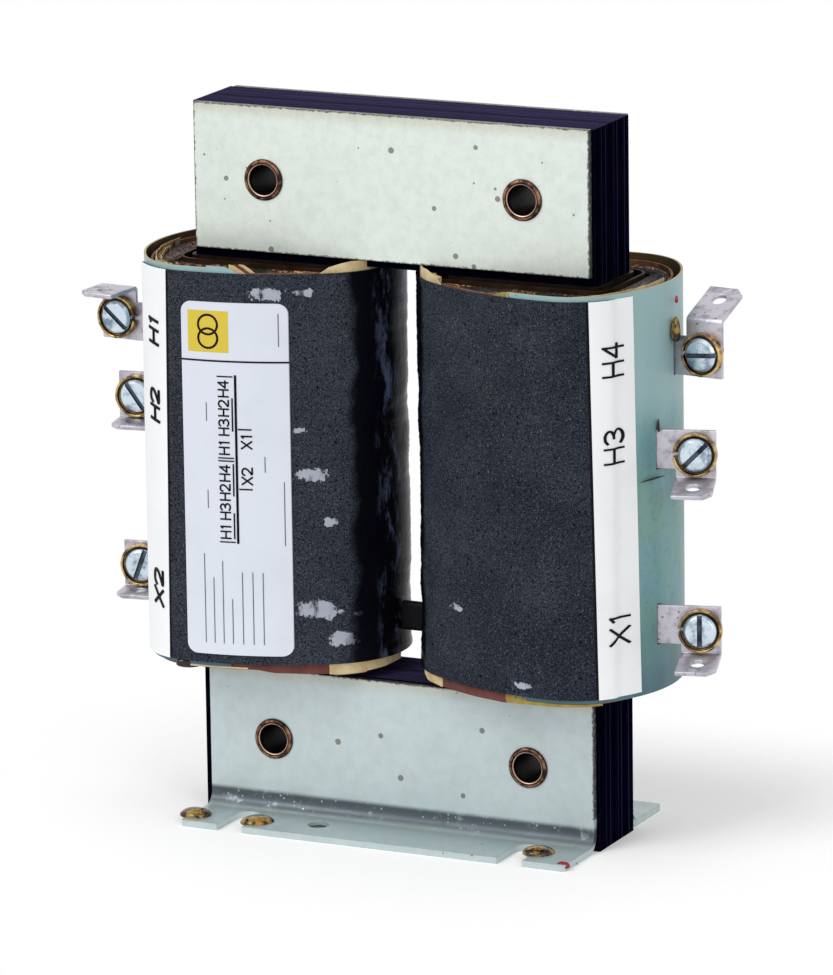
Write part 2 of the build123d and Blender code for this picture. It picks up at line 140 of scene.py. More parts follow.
# %% A place on the front of a coil
def front_place(side, offset, level, lift=0.0):
    """A point on the front of the tape, at a distance outwards from the leg's centre."""
    from_belly = offset - belly_offset
    x_way = side if from_belly >= 0 else -side
    reach = outer_reach - belly_offset if from_belly >= 0 else window_reach + belly_offset
    side_arc, face_arc, turn = quarter(reach, coil_depth)
    belly = side * (leg_centre + belly_offset)
    across = abs(from_belly)
    if across <= face_arc * math.cos(turn):
        angle = math.acos(across / face_arc)
        centre, radius = Vector((belly, face_arc - coil_depth, 0)), face_arc
    else:
        angle = math.acos(min(1.0, (across - reach + side_arc) / side_arc))
        centre, radius = Vector((belly + x_way * (reach - side_arc), 0, 0)), side_arc
    normal = Vector((x_way * math.cos(angle), -math.sin(angle), 0))
    return centre + normal * (radius + lift) + Vector((0, 0, level))


print("front of the right coil", [round(c / MM, 1) for c in front_place(1, belly_offset, 0.0)])

# %% [markdown]
# The camera stands where the photo was taken from: about 25 degrees round to the right and 13.5
# degrees up, far away behind a long lens, so upright edges stay nearly parallel.

# %% Camera
CAMERA_AZIMUTH = math.radians(25.46)
CAMERA_ELEVATION = math.radians(13.53)
CAMERA_ROLL = -0.0141
CAMERA_TARGET = Vector((0, 0.475, 85)) * MM
CAMERA_OFFSET = Vector((-0.3328, 5.0272, 1684.62)) * MM
FOCAL_PIXELS = 7242.24
PHOTO_HEIGHT = 975
SENSOR = 36.0
NEAR_LIMIT = 0.05
FAR_LIMIT = 20

right_hand = Vector((math.cos(CAMERA_AZIMUTH), math.sin(CAMERA_AZIMUTH), 0))
ahead = Vector((
    -math.sin(CAMERA_AZIMUTH) * math.cos(CAMERA_ELEVATION),
    math.cos(CAMERA_AZIMUTH) * math.cos(CAMERA_ELEVATION),
    -math.sin(CAMERA_ELEVATION),
))
upward = right_hand.cross(ahead)
rolled_right = right_hand * math.cos(CAMERA_ROLL) + upward * math.sin(CAMERA_ROLL)
rolled_up = upward * math.cos(CAMERA_ROLL) - right_hand * math.sin(CAMERA_ROLL)
camera_place = (
    CAMERA_TARGET
    - rolled_right * CAMERA_OFFSET.x
    - rolled_up * CAMERA_OFFSET.y
    - ahead * CAMERA_OFFSET.z
)
camera_data = bpy.data.cameras.new("camera")
camera_data.lens = FOCAL_PIXELS / PHOTO_HEIGHT * SENSOR
camera_data.sensor_width = SENSOR
camera_data.clip_start = NEAR_LIMIT
camera_data.clip_end = FAR_LIMIT
camera = bpy.data.objects.new("camera", camera_data)
bpy.context.collection.objects.link(camera)
facing = Matrix((rolled_right, rolled_up, -ahead)).transposed().to_4x4()
camera.matrix_world = Matrix.Translation(camera_place) @ facing
bpy.context.scene.camera = camera
bpy.context.scene.view_settings.view_transform = "Standard"
print("camera", [round(c, 3) for c in camera_place], "lens", round(camera_data.lens, 1))

# %% [markdown]
# The surround does two jobs. What the camera, the metal and the glassy varnish see of it is pure
# white, as in the photo. What lights the object is a weaker white, so that pale paper keeps its
# tone. The kind of ray tells the two apart.

# %% White surround
WORLD_STRENGTH = 0.62


def make_world():
    """A white surround for the camera and for reflections, and a softer one for lighting."""
    world = bpy.data.worlds.new("studio surround")
    world.use_nodes = True
    tree = world.node_tree
    tree.nodes.clear()
    out = tree.nodes.new("ShaderNodeOutputWorld")
    lit = tree.nodes.new("ShaderNodeBackground")
    lit.inputs["Strength"].default_value = WORLD_STRENGTH
    seen = tree.nodes.new("ShaderNodeBackground")
    seen.inputs["Strength"].default_value = 1.0
    for background in (lit, seen):
        background.inputs["Color"].default_value = (1, 1, 1, 1)
    rays = tree.nodes.new("ShaderNodeLightPath")
    sum_one = tree.nodes.new("ShaderNodeMath")
    sum_one.operation = "MAXIMUM"
    sum_two = tree.nodes.new("ShaderNodeMath")
    sum_two.operation = "MAXIMUM"
    mix = tree.nodes.new("ShaderNodeMixShader")
    tree.links.new(rays.outputs["Is Camera Ray"], sum_one.inputs[0])
    tree.links.new(rays.outputs["Is Glossy Ray"], sum_one.inputs[1])
    tree.links.new(sum_one.outputs[0], sum_two.inputs[0])
    tree.links.new(rays.outputs["Is Transmission Ray"], sum_two.inputs[1])
    tree.links.new(sum_two.outputs[0], mix.inputs["Fac"])
    tree.links.new(lit.outputs[0], mix.inputs[1])
    tree.links.new(seen.outputs[0], mix.inputs[2])
    tree.links.new(mix.outputs[0], out.inputs["Surface"])
    bpy.context.scene.world = world


make_world()
print("surround lights with", WORLD_STRENGTH)

# %% [markdown]
# The photo's ground is white, with only a soft shadow close to the feet. A plain floor would show
# its own grey far out. So this one is matt, glows a little, and thins out to nothing a few
# centimetres away from the feet.

# %% Floor that thins out
FLOOR_SIZE = 6.0
FLOOR_WHITE = (0.93, 0.93, 0.93, 1)
FLOOR_ROUGHNESS = 0.9
FLOOR_GLOW = 0.16
FOOTPRINT = (0.058, 0.036)
FADE_START = 0.006
FADE_END = 0.075


def floor_shader(tree):
    """Matt white with a weak glow of its own."""
    shader = tree.nodes["Principled BSDF"]
    shader.inputs["Base Color"].default_value = FLOOR_WHITE
    shader.inputs["Roughness"].default_value = FLOOR_ROUGHNESS
    shader.inputs["Specular IOR Level"].default_value = 0.0
    shader.inputs["Emission Color"].default_value = (1, 1, 1, 1)
    shader.inputs["Emission Strength"].default_value = FLOOR_GLOW
    return shader


def distance_from_feet(tree):
    """How far a place on the floor lies outside the footprint."""
    place = tree.nodes.new("ShaderNodeTexCoord").outputs["Object"]
    steps = []
    for operation in ("ABSOLUTE", "SUBTRACT", "MAXIMUM", "LENGTH"):
        step = tree.nodes.new("ShaderNodeVectorMath")
        step.operation = operation
        tree.links.new(place, step.inputs[0])
        place = step.outputs[0]
        steps.append(step)
    steps[1].inputs[1].default_value = (*FOOTPRINT, 0)
    return steps[-1].outputs["Value"]


def make_floor():
    """A large floor at the level of the feet."""
    bpy.ops.mesh.primitive_plane_add(size=FLOOR_SIZE, location=(0, 0, 0))
    floor = bpy.context.object
    floor.name = "studio_floor"
    paint = bpy.data.materials.new("floor paint")
    paint.use_nodes = True
    tree = paint.node_tree
    fade = tree.nodes.new("ShaderNodeMapRange")
    fade.interpolation_type = "SMOOTHSTEP"
    fade.inputs["From Min"].default_value = FADE_START
    fade.inputs["From Max"].default_value = FADE_END
    clear = tree.nodes.new("ShaderNodeBsdfTransparent")
    mix = tree.nodes.new("ShaderNodeMixShader")
    tree.links.new(distance_from_feet(tree), fade.inputs["Value"])
    tree.links.new(fade.outputs["Result"], mix.inputs["Fac"])
    tree.links.new(floor_shader(tree).outputs[0], mix.inputs[1])
    tree.links.new(clear.outputs[0], mix.inputs[2])
    tree.links.new(mix.outputs[0], tree.nodes["Material Output"].inputs["Surface"])
    floor.data.materials.append(paint)


make_floor()
print("floor fades from", FADE_START / MM, "to", FADE_END / MM, "mm beyond the feet")

# %% [markdown]
# Two square soft lamps do the rest. The key lamp stands high in front on the left, as the long
# shadow to the right says. The fill lamp is far weaker and opens the dark side of the core.

# %% Lamps
LAMPS = [
    ("key lamp", (-0.55, -1.15, 1.25), 0.9, 13),
    ("fill lamp", (1.3, -1.0, 0.7), 0.8, 5.5),
]
LAMP_TARGET = (0, 0, 0.09)


def add_lamp(name, place, target, size, watts):
    """A square soft lamp that looks at a target."""
    lamp_data = bpy.data.lights.new(name, "AREA")
    lamp_data.shape = "SQUARE"
    lamp_data.size = size
    lamp_data.energy = watts
    lamp = bpy.data.objects.new(name, lamp_data)
    lamp.location = place
    lamp.rotation_euler = (Vector(target) - Vector(place)).to_track_quat("-Z", "Y").to_euler()
    bpy.context.collection.objects.link(lamp)


for lamp_name, lamp_place, lamp_size, lamp_watts in LAMPS:
    add_lamp(lamp_name, lamp_place, LAMP_TARGET, lamp_size, lamp_watts)

# %% [markdown]
# Every finish below is a small tree of nodes, wired in code. Clicking it together in the editor
# would do as well, but code can be read from top to bottom. These helpers each add one node and
# hand back its output.

# %% Single nodes
def put(tree, value, target):
    """Set a socket to a number, a colour or another socket."""
    if isinstance(value, bpy.types.NodeSocket):
        tree.links.new(value, target)
    elif isinstance(value, tuple) and len(value) == 3:
        target.default_value = (*value, 1.0)
    else:
        target.default_value = value


def math_node(tree, operation, a, b=0.0, c=0.0):
    """One sum or comparison of up to three values."""
    made = tree.nodes.new("ShaderNodeMath")
    made.operation = operation
    for number, value in enumerate((a, b, c)):
        put(tree, value, made.inputs[number])
    return made.outputs[0]


def mix_node(tree, factor, a, b):
    """Mix two colours by a mask."""
    made = tree.nodes.new("ShaderNodeMix")
    made.data_type = "RGBA"
    first, second = (s for s in made.inputs if s.type == "RGBA")
    put(tree, factor, made.inputs["Factor"])
    put(tree, a, first)
    put(tree, b, second)
    return next(s for s in made.outputs if s.type == "RGBA")


def ramp_node(tree, value, low, high):
    """Stretch a value so that low becomes 0 and high becomes 1."""
    made = tree.nodes.new("ShaderNodeMapRange")
    made.interpolation_type = "SMOOTHSTEP"
    put(tree, value, made.inputs["Value"])
    put(tree, low, made.inputs["From Min"])
    put(tree, high, made.inputs["From Max"])
    return made.outputs["Result"]


def noise_node(tree, place, scale, detail=3.0, roughness=0.55):
    """Cloudy noise between 0 and 1."""
    made = tree.nodes.new("ShaderNodeTexNoise")
    put(tree, place, made.inputs["Vector"])
    put(tree, scale, made.inputs["Scale"])
    made.inputs["Detail"].default_value = detail
    made.inputs["Roughness"].default_value = roughness
    return made.outputs["Fac"]


print("node helpers ready")

# %% [markdown]
# A material is built up step by step: pick a tone, mix in stains, mix in specks, then wire the
# result to the shader. This small class carries the material and its shader along, so that each
# step is one short line.

# %% A finish under construction
class Finish:
    """A material under construction, with its Principled shader and object coordinates."""

    def __init__(self, name, **values):
        self.material = bpy.data.materials.new(name)
        self.material.use_nodes = True
        self.tree = self.material.node_tree
        self.shader = self.tree.nodes["Principled BSDF"]
        for key, value in values.items():
            self.shader.inputs[key.replace("_", " ")].default_value = value
        self.place = self.node("ShaderNodeTexCoord").outputs["Object"]

    def node(self, kind, **settings):
        """A new node with its settings."""
        made = self.tree.nodes.new(kind)
        for key, value in settings.items():
            setattr(made, key, value)
        return made

    def link(self, source, target):
        self.tree.links.new(source, target)

    def wire(self, **sources):
        """Link results to the shader's sockets."""
        for key, source in sources.items():
            self.link(source, self.shader.inputs[key.replace("_", " ")])

    def group(self, tree, **values):
        """A shared group with its own values. A value may be a number or another socket."""
        made = self.node("ShaderNodeGroup")
        made.node_tree = tree
        for key, value in values.items():
            put(self.tree, value, made.inputs[key.replace("_", " ")])
        if "Place" in made.inputs:
            self.link(self.place, made.inputs["Place"])
        return made.outputs

    def math(self, operation, a, b=0.0, c=0.0):
        return math_node(self.tree, operation, a, b, c)

    def times(self, a, b):
        return self.math("MULTIPLY", a, b)

    def mix(self, factor, a, b):
        return mix_node(self.tree, factor, a, b)

    def ramp(self, value, low, high):
        return ramp_node(self.tree, value, low, high)

    def noise(self, scale, detail=3.0, roughness=0.55, place=None):
        return noise_node(self.tree, place or self.place, scale, detail, roughness)

    def stretch(self, factors):
        """Object coordinates scaled along each axis, for streaks and fibres."""
        made = self.node("ShaderNodeVectorMath", operation="MULTIPLY")
        self.link(self.place, made.inputs[0])
        made.inputs[1].default_value = factors
        return made.outputs[0]

    def bump(self, height, distance, strength=1.0, normal=None):
        made = self.node("ShaderNodeBump")
        made.inputs["Distance"].default_value = distance
        made.inputs["Strength"].default_value = strength
        self.link(height, made.inputs["Height"])
        if normal is not None:
            self.link(normal, made.inputs["Normal"])
        return made.outputs["Normal"]

    def axes(self):
        """The three object coordinates as separate values."""
        made = self.node("ShaderNodeSeparateXYZ")
        self.link(self.place, made.inputs[0])
        return made.outputs


print("finish helper ready")

# %% [markdown]
# Four effects turn up in many finishes. Each is a node group, built once, and every material sets
# its own scale and amount. First the two kinds of dirt: small specks in the cells of a Voronoi
# pattern, and cloudy stains from plain noise.

# %% Groups for specks and stains
FLOAT = "NodeSocketFloat"
VECTOR = "NodeSocketVector"


def new_group(name, inputs, outputs):
    """A shader group with a place vector, named float inputs and float outputs."""
    tree = bpy.data.node_groups.new(name, "ShaderNodeTree")
    tree.interface.new_socket("Place", in_out="INPUT", socket_type=VECTOR)
    for key, value in inputs.items():
        made = tree.interface.new_socket(key, in_out="INPUT", socket_type=FLOAT)
        made.default_value = value
    for key in outputs:
        tree.interface.new_socket(key, in_out="OUTPUT", socket_type=FLOAT)
    start = tree.nodes.new("NodeGroupInput").outputs
    end = tree.nodes.new("NodeGroupOutput").inputs
    return tree, start, end


def make_specks():
    """Small round dots at random places. Coverage is the share of cells that hold one."""
    inputs = {"Scale": 900.0, "Size": 0.25, "Coverage": 0.2}
    tree, start, end = new_group("specks", inputs, ["Mask"])
    cells = tree.nodes.new("ShaderNodeTexVoronoi")
    tree.links.new(start["Place"], cells.inputs["Vector"])
    tree.links.new(start["Scale"], cells.inputs["Scale"])
    pick = tree.nodes.new("ShaderNodeSeparateColor")
    tree.links.new(cells.outputs["Color"], pick.inputs[0])
    chosen = math_node(tree, "LESS_THAN", pick.outputs[0], start["Coverage"])
    size = math_node(tree, "MULTIPLY", pick.outputs[1], start["Size"])
    inside = math_node(tree, "LESS_THAN", cells.outputs["Distance"], size)
    tree.links.new(math_node(tree, "MULTIPLY", chosen, inside), end["Mask"])
    return tree


def make_stains():
    """Cloudy patches with soft edges."""
    tree, start, end = new_group("stains", {"Scale": 40.0, "Low": 0.45, "High": 0.65}, ["Mask"])
    cloud = noise_node(tree, start["Place"], start["Scale"], 5.0, 0.6)
    tree.links.new(ramp_node(tree, cloud, start["Low"], start["High"]), end["Mask"])
    return tree


SPECKS = make_specks()
STAINS = make_stains()
print("groups", SPECKS.name, STAINS.name)

# %% [markdown]
# The other two are wear and texture. A corner rubs bright or dark: it is where a rounded normal
# leaves the true one, so no edge has to be marked by hand. The grain is a height for bump nodes.

# %% Groups for rubbed edges and grain
def make_edge_rub():
    """Where a corner is near, found by comparing a rounded normal with the true one."""
    tree, start, end = new_group("edge rub", {"Radius": 0.0006, "Breakup": 400.0}, ["Mask"])
    bevel = tree.nodes.new("ShaderNodeBevel")
    bevel.samples = 4
    tree.links.new(start["Radius"], bevel.inputs["Radius"])
    true_normal = tree.nodes.new("ShaderNodeNewGeometry")
    dot = tree.nodes.new("ShaderNodeVectorMath")
    dot.operation = "DOT_PRODUCT"
    tree.links.new(bevel.outputs[0], dot.inputs[0])
    tree.links.new(true_normal.outputs["Normal"], dot.inputs[1])
    sharpness = math_node(tree, "SUBTRACT", 1.0, dot.outputs["Value"])
    corner = ramp_node(tree, sharpness, 0.02, 0.2)
    broken = ramp_node(tree, noise_node(tree, start["Place"], start["Breakup"]), 0.3, 0.6)
    tree.links.new(math_node(tree, "MULTIPLY", corner, broken), end["Mask"])
    return tree


def make_grain():
    """A fine uneven height, coarse waves under fine grit."""
    inputs = {"Coarse": 120.0, "Fine": 1500.0, "Grit": 0.4}
    tree, start, end = new_group("surface grain", inputs, ["Height"])
    waves = noise_node(tree, start["Place"], start["Coarse"], 2.0)
    grit = noise_node(tree, start["Place"], start["Fine"], 3.0)
    tree.links.new(math_node(tree, "MULTIPLY_ADD", grit, start["Grit"], waves), end["Height"])
    return tree


EDGE_RUB = make_edge_rub()
GRAIN = make_grain()
print("groups", EDGE_RUB.name, GRAIN.name)

# %% [markdown]
# Most CAD pieces keep their own shape and only need another finish. Each takes the new material
# in place of the plain one that it was packed with.

# %% Dressing a CAD piece
def dress(nodes, material):
    """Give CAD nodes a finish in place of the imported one."""
    for name in nodes:
        data = frame["nodes"][name].data
        data.materials.clear()
        data.materials.append(material)
    print(material.name, "on", len(nodes), "nodes")


print(len(frame["nodes"]), "pieces to dress or to replace")

# %% [markdown]
# The core is a stack of thin steel sheets dipped in black varnish. From the side and from above
# you see the sheet edges as fine lines. The stack runs along Y, so a stripe that repeats along Y
# gives the lines on every face that shows edges, and none on the flat front. Fifty real sheets
# would cost much and show no more.

# %% Varnished core
SHEET_PITCH = 0.46 * MM
EDGE_BLACKS = [(0.0004, 0.0004, 0.004), (0.0010, 0.0010, 0.012)]
# The raised-sheet blue is a painted highlight on sheets that stand out, and the top blues paint the
# top lighter where light falls on it.
RAISED_SHEET_HIGHLIGHT = (0.05, 0.05, 0.14)
TOP_BLUES = [(0.024, 0.021, 0.052), (0.070, 0.061, 0.145)]
GAP_BLACK = (0.0008, 0.0008, 0.002)
STREAK_BLUE = (0.09, 0.08, 0.21)
CORE_STAIN = (0.012, 0.009, 0.012)
CORE_RUB = (0.06, 0.05, 0.12)


def core_steel_finish():
    """Sheet edges in a row. Each sheet has its own shade; a few get a painted highlight, and the
    top is painted lighter as it catches more light.
    """
    finish = Finish("core steel", Roughness=0.42, Specular_IOR_Level=0.0)
    count = finish.math("DIVIDE", finish.axes()["Y"], SHEET_PITCH)
    pick = finish.node("ShaderNodeTexWhiteNoise", noise_dimensions="1D")
    finish.link(finish.math("FLOOR", count), pick.inputs["W"])
    shade = pick.outputs["Value"]
    edge = finish.ramp(finish.math("PINGPONG", finish.math("FRACT", count), 0.5), 0.04, 0.22)
    stains = finish.group(STAINS, Scale=55.0, Low=0.45, High=0.7)["Mask"]
    streak_place = finish.stretch((60.0, 2600.0, 60.0))
    streaks = finish.ramp(finish.noise(1.0, 2.0, place=streak_place), 0.55, 0.75)
    # A few sheets, picked at random, get a painted bluish highlight as if raised.
    raised = finish.ramp(shade, 0.80, 0.98)
    side = finish.mix(finish.times(raised, 0.5), finish.mix(shade, *EDGE_BLACKS), RAISED_SHEET_HIGHLIGHT)
    normal = finish.node("ShaderNodeSeparateXYZ")
    finish.link(finish.node("ShaderNodeNewGeometry").outputs["True Normal"], normal.inputs[0])
    # Faces that look up take the lighter top blues: painted light on the top.
    upper = finish.math("GREATER_THAN", normal.outputs["Z"], 0.5)
    sheets = finish.mix(upper, side, finish.mix(shade, *TOP_BLUES))
    tone = finish.mix(edge, GAP_BLACK, sheets)
    streaked = finish.times(streaks, finish.math("MULTIPLY_ADD", upper, 0.35, 0.05))
    tone = finish.mix(streaked, tone, STREAK_BLUE)
    tone = finish.mix(finish.times(stains, 0.15), tone, CORE_STAIN)
    rub = finish.group(EDGE_RUB, Radius=0.0004, Breakup=500.0)["Mask"]
    tone = finish.mix(finish.times(rub, 0.15), tone, CORE_RUB)
    lines = finish.bump(finish.math("ADD", finish.times(shade, 0.6), edge), 0.00012, 0.8)
    grain = finish.group(GRAIN, Coarse=150.0, Fine=1800.0, Grit=0.3)["Height"]
    finish.wire(
        Base_Color=tone,
        Roughness=finish.math("MULTIPLY_ADD", stains, 0.25, 0.34),
        Normal=finish.bump(grain, 0.0001, 0.5, lines),
    )
    return finish.material


CORE_STEEL = core_steel_finish()
dress([name for name in frame["nodes"] if name.endswith("_laminations")], CORE_STEEL)

# %% [markdown]
# The plates and the feet are galvanised sheet: a dull, slightly green-grey metal with faint
# cloudy spangle and small dark specks. Clouds in two sizes give the spangle, and a fine mottle
# keeps it from looking painted.

# %% Tone of galvanised sheet
SPANGLE = (0.34, 0.36, 0.33)
MOTTLE_GREY = (0.42, 0.46, 0.44)
DIRT_BROWN = (0.12, 0.09, 0.06)


def sheet_metal_tone(finish, cloud, colour, cloud_colour):
    """Spangle, mottle and specks on a galvanised colour."""
    fine_cloud = finish.group(STAINS, Scale=420.0, Low=0.35, High=0.75)["Mask"]
    tone = finish.mix(finish.times(cloud, 0.7), colour, cloud_colour)
    tone = finish.mix(finish.times(fine_cloud, 0.16), tone, SPANGLE)
    mottle = finish.ramp(finish.noise(1500.0, 3.0, 0.7), 0.5, 0.8)
    tone = finish.mix(finish.times(mottle, 0.22), tone, MOTTLE_GREY)
    big = finish.group(SPECKS, Scale=190.0, Size=0.16, Coverage=0.22)["Mask"]
    small = finish.group(SPECKS, Scale=520.0, Size=0.24, Coverage=0.16)["Mask"]
    return finish.mix(finish.times(finish.math("MAXIMUM", big, small), 0.75), tone, DIRT_BROWN)


print("spangle", SPANGLE, "under specks of", DIRT_BROWN)

# %% [markdown]
# The black varnish of the core has crept over the edges of the plates and feet, and soaked a tan
# border along their tops. Both lie at known places, so the distance from the edge, made ragged by
# noise, is the mask.

# %% Varnish that crept over the edges
FOOT_ZONE = 8.0 * MM
WET_EDGE = (1.25 * MM, 0.85 * MM)
WET_RAGGED = 1.7 * MM
SOAKED_TOP = (5.2 * MM, 1.6 * MM)
SOAKED_RAGGED = 3.0 * MM
SOAKED_TAN = (0.42, 0.34, 0.20)
WET_BLACK = (0.020, 0.017, 0.022)


def crept_varnish(finish, tone, node, has_fold):
    """Varnish that has crept over the edges of a node's box. A foot's own flat part is spared."""
    low, high = node_box(node)
    axes = finish.axes()
    across = finish.math("SUBTRACT", high.x, finish.math("ABSOLUTE", axes["X"]))
    below = finish.math("SUBTRACT", high.z, axes["Z"])
    nearest = finish.math("MINIMUM", across, below)
    if has_fold:
        on_foot = finish.math("LESS_THAN", axes["Z"], FOOT_ZONE)
        nearest = finish.math("MULTIPLY_ADD", on_foot, FOOT_ZONE, nearest)
    else:
        above = finish.math("SUBTRACT", axes["Z"], low.z)
        nearest = finish.math("MINIMUM", nearest, above)
    ragged = finish.noise(900.0, 5.0, 0.75)
    wet = finish.ramp(finish.math("MULTIPLY_ADD", ragged, WET_RAGGED, nearest), *WET_EDGE)
    soak = finish.ramp(finish.math("MULTIPLY_ADD", ragged, SOAKED_RAGGED, below), *SOAKED_TOP)
    tone = finish.mix(finish.times(soak, 0.38), tone, SOAKED_TAN)
    return finish.mix(finish.times(wet, 0.9), tone, WET_BLACK)


print("varnish creeps", round(WET_EDGE[0] / MM, 2), "mm over the edges")

# %% [markdown]
# Each foot is one sheet folded at a right angle. Along the inside of the fold a grey band is
# painted in as shade and dark reflection, with pale specks. The height above the ground says where
# the fold is.

# %% Painted shade in the fold of a foot
FOLD_CENTRE_Z = 3.9 * MM
FOLD_HALF_BAND = 2.6 * MM
FOLD_FULL_BAND = 1.2 * MM
# A grey painted shade for the fold, and pale specks strewn in it.
FOLD_PAINTED_SHADE = (0.045, 0.060, 0.075)
FOLD_PALE_SPECKS = (0.55, 0.57, 0.52)


def fold_painted_shade(finish, tone):
    """Painted grey shade and dark reflection in the inside of the fold, with pale specks in it."""
    # Painted shade: a grey band along the fold, broken into patches.
    from_fold = finish.math("SUBTRACT", finish.axes()["Z"], FOLD_CENTRE_Z)
    near = finish.ramp(finish.math("ABSOLUTE", from_fold), FOLD_HALF_BAND, FOLD_FULL_BAND)
    shade_patches = finish.ramp(finish.noise(210.0, 6.0, 0.7), 0.18, 0.46)
    tone = finish.mix(finish.times(finish.times(near, shade_patches), 0.93), tone, FOLD_PAINTED_SHADE)
    grit = finish.group(SPECKS, Scale=1100.0, Size=0.36, Coverage=0.22)["Mask"]
    return finish.mix(finish.times(finish.times(grit, near), 0.7), tone, FOLD_PALE_SPECKS)


print("painted shade up to", round((FOLD_CENTRE_Z + FOLD_HALF_BAND) / MM, 1), "mm above the ground")

# %% [markdown]
# Plates and feet are made of the same kind of sheet, so one recipe lays the three effects over
# each other. Only the colours differ a little, and only a foot has a fold.

# %% Galvanised plates and feet
RUBBED_GREY = (0.22, 0.22, 0.20)


def galvanised_finish(name, colour, cloud_colour, node, has_fold):
    """Galvanised sheet for a plate or a folded foot."""
    finish = Finish(name, Metallic=0.55, Roughness=0.45)
    cloud = finish.group(STAINS, Scale=26.0, Low=0.35, High=0.7)["Mask"]
    tone = sheet_metal_tone(finish, cloud, colour, cloud_colour)
    tone = crept_varnish(finish, tone, node, has_fold)
    rub = finish.group(EDGE_RUB, Radius=0.0005, Breakup=350.0)["Mask"]
    tone = finish.mix(finish.times(rub, 0.45), tone, RUBBED_GREY)
    if has_fold:
        tone = fold_painted_shade(finish, tone)
    grain = finish.group(GRAIN, Coarse=60.0, Fine=900.0, Grit=0.12)["Height"]
    finish.wire(
        Base_Color=tone,
        Roughness=finish.math("MULTIPLY_ADD", cloud, 0.12, 0.36),
        Normal=finish.bump(grain, 0.0003, 0.35),
    )
    return finish.material


CLAMP_PLATE = galvanised_finish(
    "galvanised clamp plate", (0.76, 0.83, 0.77), (0.68, 0.75, 0.69), "front_clamp_plate", False
)
FOOT_METAL = galvanised_finish(
    "galvanised foot", (0.55, 0.64, 0.65), (0.46, 0.54, 0.55), "front_foot_bracket", True
)
dress(["front_clamp_plate", "rear_clamp_plate"], CLAMP_PLATE)
dress(["front_foot_bracket", "rear_foot_bracket"], FOOT_METAL)

# %% [markdown]
# Board, kraft paper and cream paper are all soaked in amber varnish, so they share one recipe: a
# paper colour with darker soaked clouds and upright fibres.

# %% Varnished papers
def varnished_paper_finish(name, colour, soaked, amount, roughness):
    """Paper with soaked clouds. The amount says how strongly the clouds show."""
    finish = Finish(name, Roughness=roughness, Specular_IOR_Level=0.05)
    cloud = finish.group(STAINS, Scale=180.0, Low=0.35, High=0.7)["Mask"]
    fibres = finish.noise(1.0, 4.0, place=finish.stretch((500.0, 500.0, 2600.0)))
    tone = finish.mix(finish.times(cloud, amount), colour, soaked)
    tone = finish.mix(finish.times(finish.ramp(fibres, 0.5, 0.8), 0.3), tone, soaked)
    finish.wire(Base_Color=tone, Normal=finish.bump(fibres, 0.00015, 0.5))
    return finish.material


PAPERS = {
    "former board": ((0.016, 0.010, 0.007), (0.004, 0.003, 0.003), 0.9, 0.4),
    "barrier paper": ((0.035, 0.018, 0.009), (0.006, 0.004, 0.003), 0.9, 0.45),
    "kraft paper": ((0.24, 0.11, 0.055), (0.06, 0.025, 0.015), 0.75, 0.5),
    "cream paper": ((0.78, 0.64, 0.38), (0.36, 0.21, 0.08), 0.55, 0.55),
    "red brown kraft": ((0.17, 0.062, 0.055), (0.10, 0.035, 0.03), 0.6, 0.5),
    "ochre paper": ((0.42, 0.32, 0.09), (0.15, 0.10, 0.03), 0.6, 0.45),
}
paper = {name: varnished_paper_finish(name, *values) for name, values in PAPERS.items()}
KRAFT_PAPER, CREAM_PAPER = paper["kraft paper"], paper["cream paper"]
RED_KRAFT, OCHRE_PAPER = paper["red brown kraft"], paper["ochre paper"]
dress(["left_coil_former", "right_coil_former"], paper["former board"])
dress(["left_barrier_paper", "right_barrier_paper"], paper["barrier paper"])
dress(["left_kraft_wrap", "right_kraft_wrap"], KRAFT_PAPER)
dress([name for name in frame["nodes"] if name.endswith("_filler_paper")], CREAM_PAPER)

# %% [markdown]
# Inside the papers lies enamelled copper wire. The varnish has drowned most of it, so it is
# nearly black, with copper glints where a turn stands out of the pool.

# %% Enamelled wire
VARNISH_BLACK = (0.006, 0.004, 0.005)
COPPER_GLINT = (0.40, 0.16, 0.07)


def wire_finish():
    """Enamelled copper, mostly drowned in dark varnish, with copper glints."""
    finish = Finish("enamelled wire", Roughness=0.28, Specular_IOR_Level=0.06)
    glint_place = finish.stretch((700.0, 700.0, 300.0))
    glints = finish.ramp(finish.noise(1.0, 3.0, 0.65, place=glint_place), 0.55, 0.72)
    cloud = finish.group(STAINS, Scale=60.0, Low=0.4, High=0.7)["Mask"]
    amount = finish.times(glints, finish.math("MULTIPLY_ADD", cloud, 0.6, 0.25))
    grain = finish.group(GRAIN, Coarse=900.0, Fine=3000.0, Grit=0.4)["Height"]
    finish.wire(
        Base_Color=finish.mix(amount, VARNISH_BLACK, COPPER_GLINT),
        Metallic=finish.times(amount, 0.6),
        Normal=finish.bump(grain, 0.00015, 0.6),
    )
    return finish.material


dress([name for name in frame["nodes"] if name.endswith("_winding")], wire_finish())

# %% [markdown]
# The dark wrap is varnished tape. Close up it is charcoal with a weave, pale lint and black
# flecks, and brown stains where varnish soaked through. The left coil is a little lighter.

# %% Colours of the tape
CHARCOALS = [(0.022, 0.027, 0.037), (0.042, 0.049, 0.063)]
TAPE_BROWN = (0.075, 0.070, 0.050)
LEFT_LIGHTER = (0.070, 0.078, 0.092)
WEAVE_BLACK = (0.006, 0.007, 0.016)
LINT_GREY = (0.15, 0.17, 0.20)
FLECK_BLACK = (0.004, 0.004, 0.007)


